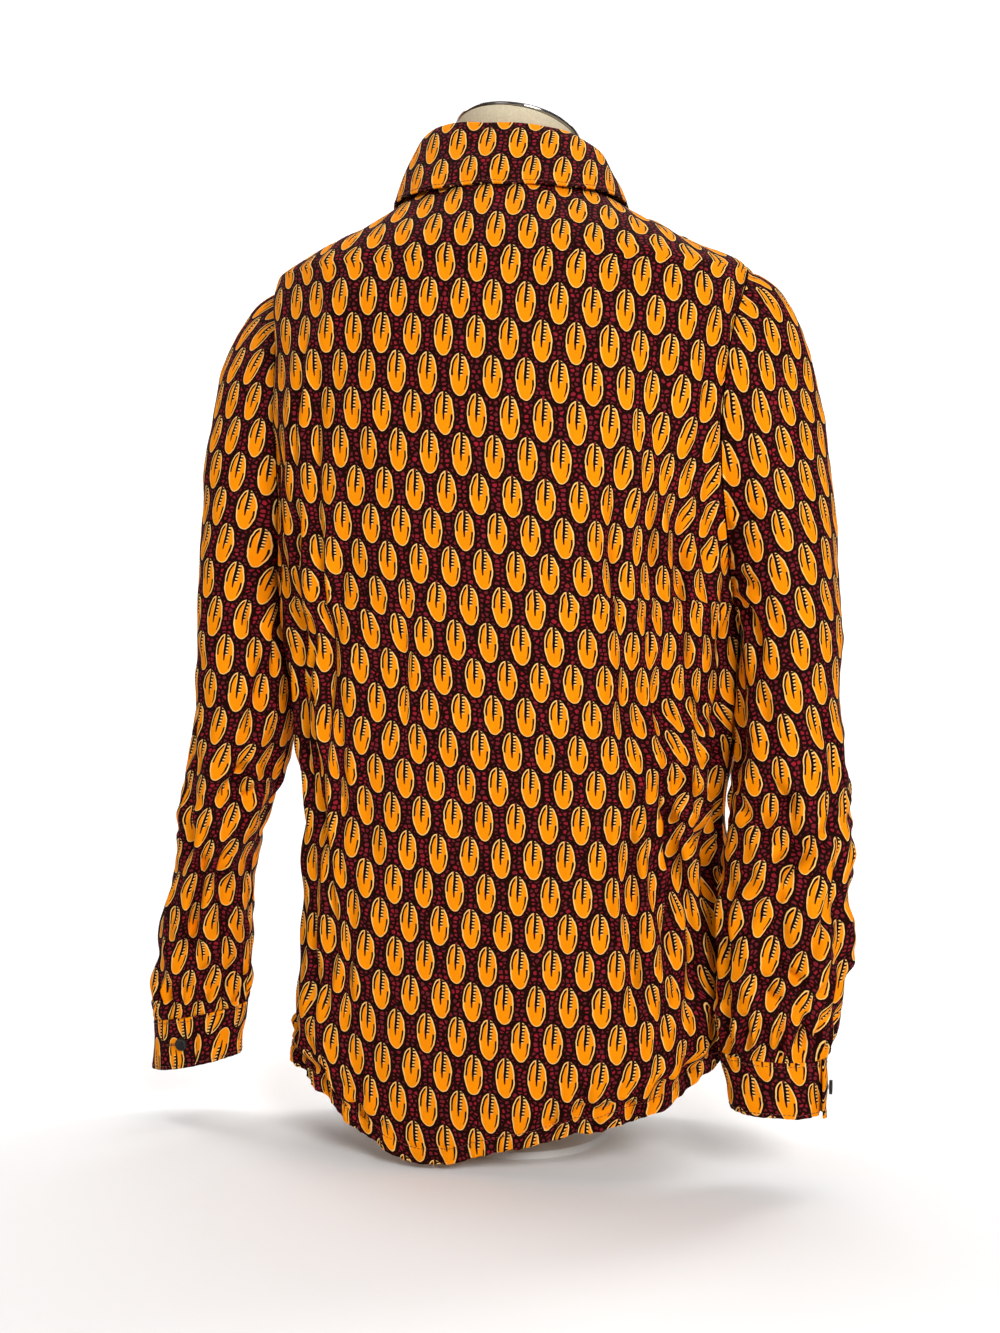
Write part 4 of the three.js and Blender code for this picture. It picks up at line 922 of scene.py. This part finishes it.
def leaf_point(angle, down):
    """down is 0 at the fold, 1 at the edge, and below 0 where the leaf rolls over to the inside."""
    x, y, z = fold_line(angle)
    away = np.stack([x - 4, y + 30], -1)
    away = away / np.linalg.norm(away, axis=-1, keepdims=True)
    far, drop = read(LEAF_EDGE, 1, np.abs(angle)), read(LEAF_EDGE, 2, np.abs(angle))
    kept = np.maximum(down, 0)
    shoulder = np.sin(np.radians(angle)) ** 2
    reach = 3.2 * np.sin(np.minimum(1, kept * 4) * math.pi / 2)
    reach = reach + (far - 3.2) * kept ** (1.15 - 0.4 * shoulder)
    fall = (drop + np.where(angle > 0, 3, -8) * shoulder) * kept ** (1 + 0.2 * shoulder)
    inside = np.clip(-down / 0.1, 0, 1)
    reach = reach - 2.4 * np.sin(inside * math.pi / 2)
    height = z + 2.2 * (1 - kept) - fall - 7 * inside**2
    return leaned(x + away[..., 0] * reach, y + away[..., 1] * reach, height)


angle = np.linspace(168, -168, 170)[None, :]
down = np.concatenate([np.linspace(1, 0.12, 40), np.linspace(0.1, -0.1, 16)])[:, None]
leaf = leaf_point(angle + 0 * down, down + 0 * angle)
u, v = cloth_lengths(leaf, 85, 0)
d = rumpled(u, v, 55) * 0.5 + puckered(u, v, 5, 9) * 0.2
d *= smooth(v / 3)
leaf_outside = raised(leaf, d - 0.2)
make_cloth(
    "shirt_collar_leaf", "collar_leaf", leaf_outside, u + 9, v + 17, 1.2, smooth_cotton,
    flat=(0.62, 0.08), area=0.04, held="folded", rests_on=["shirt_collar_band"],
)  # fmt: skip

angle = np.linspace(178, -178, 150)[None, :]
rise = np.linspace(0, 1, 14)[:, None]
foot = body_point(angle + 0 * rise, read(NECKLINE, 1, np.abs(angle)) + 0 * rise)
foot[..., 2] += np.where(np.abs(angle) > 110, 1.7, 0.8)
x, y, z = fold_line(angle + 0 * rise)
top = leaned(x, y, z)
inward = np.stack([4 - x, -30 - y], -1)
top[..., :2] += 0.6 * inward / np.linalg.norm(inward, axis=-1, keepdims=True)
top[..., 2] -= 3.2
band = foot * (1 - rise[..., None]) + top * rise[..., None]
u, v = cloth_lengths(band, 75, 0)
make_cloth(
    "shirt_collar_band", "collar_band", band, u + 9, v, STIFFENED, smooth_cotton,
    flat=(0.47, 0.055), area=0.0165, held="stretched", rests_on=["form_torso"],
)  # fmt: skip

# ---- Stitching ----
# Lockstitch in rust thread along the collar, cuffs, hem and placket: about three stitches to the
# centimetre show on each line.
thread, tree, shader = new_material("sewing_thread", roughness=0.6)
shade = mapped(tree, noise(tree, None, 900), 0.3, 0.7, 0.6, 1.1)
tree.links.new(tinted(tree, (0.16, 0.035, 0.012), shade), shader["Base Color"])

stitcher = bpy.data.node_groups.new("stitches", "GeometryNodeTree")
stitcher.interface.new_socket("Line", in_out="INPUT", socket_type="NodeSocketGeometry")
spacing = stitcher.interface.new_socket("Spacing", in_out="INPUT", socket_type="NodeSocketFloat")
stitcher.interface.new_socket("Stitches", in_out="OUTPUT", socket_type="NodeSocketGeometry")
given, result = stitcher.nodes.new("NodeGroupInput"), stitcher.nodes.new("NodeGroupOutput")
curve = wire(stitcher, "GeometryNodeMeshToCurve", given.outputs[0])
spread = {"Curve": curve, "Length": given.outputs[1]}
spread = wire(stitcher, "GeometryNodeCurveToPoints", named=spread, mode="LENGTH").node.outputs
bar = wire(stitcher, "GeometryNodeMeshCube", (0.00042, 0.00042, 0.0021))
turn = wire(stitcher, "FunctionNodeAlignEulerToVector", named={"Vector": spread["Tangent"]}, axis="Z")
laid = {"Points": spread["Points"], "Instance": bar, "Rotation": turn}
laid = wire(stitcher, "GeometryNodeInstanceOnPoints", named=laid)
sewn = {"Geometry": wire(stitcher, "GeometryNodeRealizeInstances", laid), "Material": thread}
stitcher.links.new(wire(stitcher, "GeometryNodeSetMaterial", named=sewn), result.inputs[0])


def stitched(name, lines, gap=0.0033):
    """Stitches along lines of points in mm, as one plain mesh."""
    points, edges = [], []
    for line in lines:
        first = len(points)
        points += (np.asarray(line) / 1000).tolist()
        edges += [(i, i + 1) for i in range(first, len(points) - 1)]
    mesh = bpy.data.meshes.new(name)
    mesh.from_pydata(points, edges, [])
    guide = bpy.data.objects.new(name, mesh)
    bpy.context.scene.collection.objects.link(guide)
    step = guide.modifiers.new("stitches", "NODES")
    step.node_group = stitcher
    step[spacing.identifier] = gap
    bpy.context.view_layer.update()
    made = bpy.data.meshes.new_from_object(guide.evaluated_get(bpy.context.evaluated_depsgraph_get()))
    guide.modifiers.remove(step)
    guide.data = made
    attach(guide, "root")
    return guide


def inset(p, distance, edge):
    """The line on a grid that runs a distance in mm inside its bottom (0) or top (-1) edge."""
    rows = p if edge == 0 else p[::-1]
    run = distances(rows, 0)
    line = []
    for j in range(p.shape[1]):
        line.append([np.interp(distance, run[:, j], rows[:, j, k]) for k in range(3)])
    return np.array(line) + grid_normals(p)[edge] * PROUD


EDGE_LINE, HEM_LINE, PROUD = 3.3, 12.4, 0.15  # mm from the edge, and above the cloth
stitched("stitches_collar", [inset(leaf_outside, EDGE_LINE, 0)[2:-2]])
stitched("stitches_hem_back", [inset(back_outside, HEM_LINE, 0)[1:-1]])
stitched("stitches_hem_fronts", [inset(p, HEM_LINE, 0)[1:-1] for p in front_outsides])
for name, p in cuff_outsides.items():
    stitched("stitches_cuff_" + name, [inset(p, EDGE_LINE, edge)[3:-3] for edge in (0, -1)])
stitched("stitches_placket", [placket_outside[2:-2, column] - (0, PROUD, 0) for column in (1, -2)])

# Buttonholes: two close rows of stitches, level on the cuffs and upright on the placket.
for name in CUFFS:
    share = np.linspace(BUTTON_SHARE - 0.012, BUTTON_SHARE + 0.052, 18)
    lines = [cuff_point(name, share, down, 0.3) for down in (0.485, 0.515)]
    stitched("buttonhole_cuff_" + name, lines, 0.0009)
for i, row in enumerate(BUTTON_ROWS):
    rows = np.linspace(row - 0.24, row + 0.24, 12)
    lines = [placket_point(rows, share) + (0, -0.2, 0) for share in (0.48, 0.52)]
    stitched(f"buttonhole_front_{i + 1}", lines, 0.0009)

# ---- Buttons ----
# Black plastic, 11 mm across with a raised rim and four holes, sewn on with black thread. Six close
# the front and one closes each cuff.
plastic, tree, shader = new_material("black_plastic", specular=0.35, color=(0.006, 0.005, 0.005, 1))
place = wire(tree, "ShaderNodeTexCoord").node.outputs["Object"]
tree.links.new(mapped(tree, noise(tree, place, 400), 0.3, 0.7, 0.3, 0.45), shader["Roughness"])
black_thread = new_material("black_thread", roughness=0.75, color=(0.016, 0.012, 0.012, 1))[0]
BUTTON = [
    (0.2, 1.9), (1.2, 1.9), (2.4, 1.92), (3.4, 2.0), (4.2, 2.25), (4.7, 2.5), (5.2, 2.6), (5.55, 2.45),
    (5.7, 1.9), (5.6, 0.5), (5.2, 0.0),
]  # fmt: skip
HOLE = 1.1  # from the middle of the button, both ways


def sewn_button(name, seat, across, above):
    """A button on its seat in mm, facing out of the cloth, with its thread through the holes."""
    z_axis = np.cross(across, above)
    z_axis /= np.linalg.norm(z_axis)
    x_axis = across - np.dot(across, z_axis) * z_axis
    x_axis /= np.linalg.norm(x_axis)
    turn = np.stack([x_axis, np.cross(z_axis, x_axis), z_axis])
    seat = seat + 0.3 * z_axis
    disc = lathe(BUTTON, 48)
    for x, y in ((HOLE, HOLE), (-HOLE, HOLE), (-HOLE, -HOLE), (HOLE, -HOLE)):
        disc[..., 2] -= 1.3 * np.exp(-(((disc[..., 0] - x) ** 2 + (disc[..., 1] - y) ** 2) / 0.45) ** 2)
    points = np.concatenate([disc.reshape(-1, 3), [[0, 0, 1.9], [0, 0, 0]]]) @ turn + seat
    faces = ring_faces(len(BUTTON), 48, ends=True, flipped=True)
    finished("detail_" + name, points, faces, plastic, name)
    points, faces = [], []
    for y in (HOLE - 0.25, HOLE + 0.25, -HOLE - 0.25, -HOLE + 0.25):
        faces += ring_faces(7, 6, len(points))
        for x in np.linspace(-1.25, 1.25, 7):
            lift = 1.75 + 0.75 * math.sqrt(max(0, 1 - (x / 1.3) ** 2))
            a = np.arange(6) * math.pi / 3
            points += [(x, y + 0.2 * math.cos(t), lift + 0.2 * math.sin(t)) for t in a]
    finished(name + "_thread", np.array(points) @ turn + seat, faces, black_thread)


for i, row in enumerate(BUTTON_ROWS):
    seat = placket_point(row, 0.5)
    across = placket_point(row, 0.4) - placket_point(row, 0.6)
    above = placket_point(row + 0.3, 0.5) - placket_point(row - 0.3, 0.5)
    sewn_button(f"button_front_{i + 1}", seat, across, above)
for name in CUFFS:
    near, far = cuff_point(name, BUTTON_SHARE - 0.02, 0.5), cuff_point(name, BUTTON_SHARE + 0.02, 0.5)
    above = cuff_point(name, BUTTON_SHARE, 0.4) - cuff_point(name, BUTTON_SHARE, 0.6)
    seat = cuff_point(name, BUTTON_SHARE, 0.5, 0.6)
    sewn_button("button_cuff_" + name, seat, (near - far) * CUFFS[name][0][0], above)

# ---- Dress form ----
# A limbless torso padded and covered in cream linen, with a seam down the middle of the back and the
# front. It narrows at the waist, and the shirt's shoulders rest on its own.
linen, tree, shader = new_material("cream_linen", roughness=0.9, specular=0.2)
place = wire(tree, "ShaderNodeTexCoord").node.outputs["Object"]
weave, slubs = woven(tree, place, 4200, 0, 2), noise(tree, place, 420, 4)
shade = mapped(tree, slubs, 0.35, 0.7, 0.90, 1.03)
tree.links.new(tinted(tree, (0.69, 0.60, 0.42), shade), shader["Base Color"])
bump = bumped(tree, wire(tree, "ShaderNodeMath", weave, slubs, operation="ADD"), 0.35, 0.0003)
tree.links.new(bump, shader["Normal"])

# Heights, half widths, depths behind and before, squareness and middle of the torso, in mm.
FORM = [
    (122, 96, 42, 56, 2.2, 0), (128, 130, 54, 74, 2.2, 0), (142, 147, 58, 82, 2.2, 0),
    (190, 150, 58, 84, 2.2, 0), (240, 138, 56, 78, 2.2, 0), (296, 122, 56, 72, 2.2, 0),
    (350, 128, 64, 76, 2.2, 0), (430, 150, 82, 92, 2.2, 0), (500, 164, 98, 99, 2.2, 0),
    (570, 170, 105, 98, 2.2, 0), (630, 174, 108, 94, 2.2, 0), (690, 184, 106, 85, 2.2, -2),
]  # fmt: skip
for i in range(5):
    z = TIP + 18 * i
    half, behind, before, square, middle = (float(read(SECTIONS, k, z)) for k in range(1, 6))
    FORM.append((z, half - 4.4, behind - 4.4, before - 4.4, square, middle))
around, steps = 96, 8
a = -np.linspace(0, 2 * math.pi, around, endpoint=False)
rings = []
for z, half, behind, before, square, middle in FORM:
    s, c = np.sin(a), np.cos(a)
    x = half * np.sign(s) * np.abs(s) ** (2 / square)
    y = np.where(c >= 0, behind, before) * np.sign(c) * np.abs(c) ** (2 / square)
    rings.append(leaned(x, middle + y, z + 0 * x))
for z, half, behind, before, middle, tilt in (
    (832, 58, 53, 54, -30, 0.3), (850, 55, 52, 52, -32, 0.6), (880, 55, 55, 55, -37, 1),
):  # fmt: skip
    x, y = half * np.sin(a), np.where(np.cos(a) >= 0, behind, before) * np.cos(a)
    slope = y * math.tan(math.radians(14)) + x * math.tan(math.radians(7))
    rings.append(np.stack([x, middle + y, z + tilt * slope], -1))
rings = np.array(rings)
knots = distances(rings[:, 0], 0)
along = []
for i in range(len(rings) - 1):
    along += np.linspace(knots[i], knots[i + 1], steps, endpoint=False).tolist()
along = np.array(along + [knots[-1]])
smooth_rings = np.zeros((len(along), around, 3))
for i in range(around):
    for k in range(3):
        table = np.stack([knots, rings[:, i, k]], -1)
        smooth_rings[:, i, k] = read(table, 1, along)
inward = grid_normals(np.concatenate([smooth_rings, smooth_rings[:, :1]], 1))[:, :-1] * -0.7
above_foot = smooth((smooth_rings[..., 2] - 120) / 10)[..., None]
smooth_rings = smooth_rings + inward * above_foot
seam_depth = 1.2 * bell(smooth_rings[..., 0] + 8, 1.2) * above_foot[..., 0]
smooth_rings += inward / 0.7 * seam_depth[..., None] * (smooth_rings[..., 2:3] > 700)
points = np.concatenate([smooth_rings.reshape(-1, 3), [smooth_rings[0].mean(0)], [smooth_rings[-1].mean(0)]])
faces = ring_faces(len(along), around, ends=True)
finished("dress_form_torso", points, faces, linen, "form_torso", 50)

# The neck ends in a shallow chromed cap with a rolled rim, tilted forward and to the right.
chrome, tree, shader = new_material("chrome", color=(0.40, 0.39, 0.38, 1))
shader["Metallic"].default_value = 1
place = wire(tree, "ShaderNodeTexCoord").node.outputs["Object"]
tree.links.new(mapped(tree, noise(tree, place, 260), 0.3, 0.7, 0.1, 0.24), shader["Roughness"])
CAP = [
    (0.01, 0), (56.2, 0), (56.8, 0.4), (57, 1.1), (57, 2.0), (56.6, 2.7), (55.6, 3.1), (53.5, 3.3),
    (51.5, 3.1), (50, 2.7), (47, 2.7), (20, 3.6), (0.01, 4.2),
]  # fmt: skip
around = 120
pitch, roll = math.radians(14), math.radians(-7)
tilt_x = np.array([(1, 0, 0), (0, math.cos(pitch), -math.sin(pitch)), (0, math.sin(pitch), math.cos(pitch))])
tilt_y = np.array([(math.cos(roll), 0, math.sin(roll)), (0, 1, 0), (-math.sin(roll), 0, math.cos(roll))])
points = lathe(CAP, around).reshape(-1, 3) @ (tilt_x @ tilt_y).T + (0, -37, 880.8)
last = (len(CAP) - 1) * around
faces = ring_faces(len(CAP), around, flipped=True)
faces += [tuple(range(around))[::-1], tuple(range(last, last + around))]
finished("dress_form_cap", points, faces, chrome, "form_neck_cap", 40)

# Pole and base plate: steel with a pale powder coat.
coat, tree, shader = new_material("powder_coat", color=(0.83, 0.82, 0.80, 1))
place = wire(tree, "ShaderNodeTexCoord").node.outputs["Object"]
grain = noise(tree, place, 1500)
tree.links.new(bumped(tree, grain, 0.3, 0.0001), shader["Normal"])
tree.links.new(mapped(tree, grain, 0.3, 0.7, 0.42, 0.58), shader["Roughness"])
for name, profile, y in (
    ("form_base", [(0.01, 0), (81.4, 0), (82, 0.8), (81, 4.2), (80.3, 5.6), (79.2, 6), (0.01, 6)], -40),
    ("form_pole", [(0.01, 6.3), (14, 6.3), (14, 121.7), (0.01, 121.7)], -12),
):
    points = lathe(profile, 96).reshape(-1, 3) + (0, y, 0)
    finished("dress_" + name, points, ring_faces(len(profile), 96), coat, name, 40)

# ---- Floor, light and camera ----
# A pale floor that curves up into a pale wall, lit evenly from large soft lamps.
white = new_material("studio_white", roughness=0.9, specular=0.1, color=(0.95, 0.95, 0.95, 1))[0]
bend = [(r, 0.0) for r in (-3.0, -1.0, 0.0, 1.0, 2.0)]
bend += [(2.0 + 0.9 * math.sin(t), 0.9 - 0.9 * math.cos(t)) for t in np.linspace(0.1, math.pi / 2, 20)]
bend += [(2.9, 2.0), (2.9, 4.5)]
azimuth = math.radians(191)
away = Vector((-math.sin(azimuth), math.cos(azimuth), 0))
side_way = Vector((away.y, -away.x, 0))
points = [away * r + side_way * w + Vector((0, 0, h)) for w in (-5, 5) for r, h in bend]
n = len(bend)
mesh = bpy.data.meshes.new("studio_floor")
mesh.from_pydata([tuple(p) for p in points], [], [(i + n, i + n + 1, i + 1, i) for i in range(n - 1)])
mesh.polygons.foreach_set("use_smooth", [True] * (n - 1))
mesh.materials.append(white)
floor = bpy.data.objects.new("studio_floor", mesh)
bpy.context.scene.collection.objects.link(floor)


def lamp(name, where, target, size, power, tint=(1, 1, 1)):
    light = bpy.data.lights.new(name, "AREA")
    light.shape, light.size, light.energy, light.color = "DISK", size, power, tint
    holder = bpy.data.objects.new(name, light)
    holder.location = where
    holder.rotation_euler = (Vector(target) - Vector(where)).to_track_quat("-Z", "Y").to_euler()
    bpy.context.scene.collection.objects.link(holder)


lamp("key", side_way * 0.8 - away * 2.3 + Vector((0, 0, 1.5)), (0, 0, 0.45), 1.0, 53)
lamp("fill", side_way * -1.5 - away * 2.1 + Vector((0, 0, 1.3)), (0, 0, 0.4), 1.4, 9)
lamp("top", away * 0.4 + Vector((0, 0, 2.6)), (0, 0, 0.3), 1.8, 18)
on_wall = away * 2.9 + Vector((0, 0, 0.8))
for i, w in enumerate((-1.6, 1.6)):
    lamp(f"wall_{i + 1}", away + side_way * w + Vector((0, 0, 2.4)), on_wall, 1.6, 46)
world = bpy.data.worlds.new("studio")
world.use_nodes = True
world.node_tree.nodes["Background"].inputs[0].default_value = (1, 1, 1, 1)
world.node_tree.nodes["Background"].inputs[1].default_value = 0.10
bpy.context.scene.world = world
bpy.context.scene.view_settings.view_transform = "Standard"

lens = bpy.data.cameras.new("camera")
lens.lens, lens.sensor_width = 42.4, 36
lens.shift_x, lens.shift_y = -0.0075, -0.0349
camera = bpy.data.objects.new("camera", lens)
camera.location = (1.36 * math.sin(azimuth), -1.36 * math.cos(azimuth), 0.453)
camera.rotation_euler = (math.pi / 2, 0, azimuth)
bpy.context.scene.collection.objects.link(camera)
bpy.context.scene.camera = camera
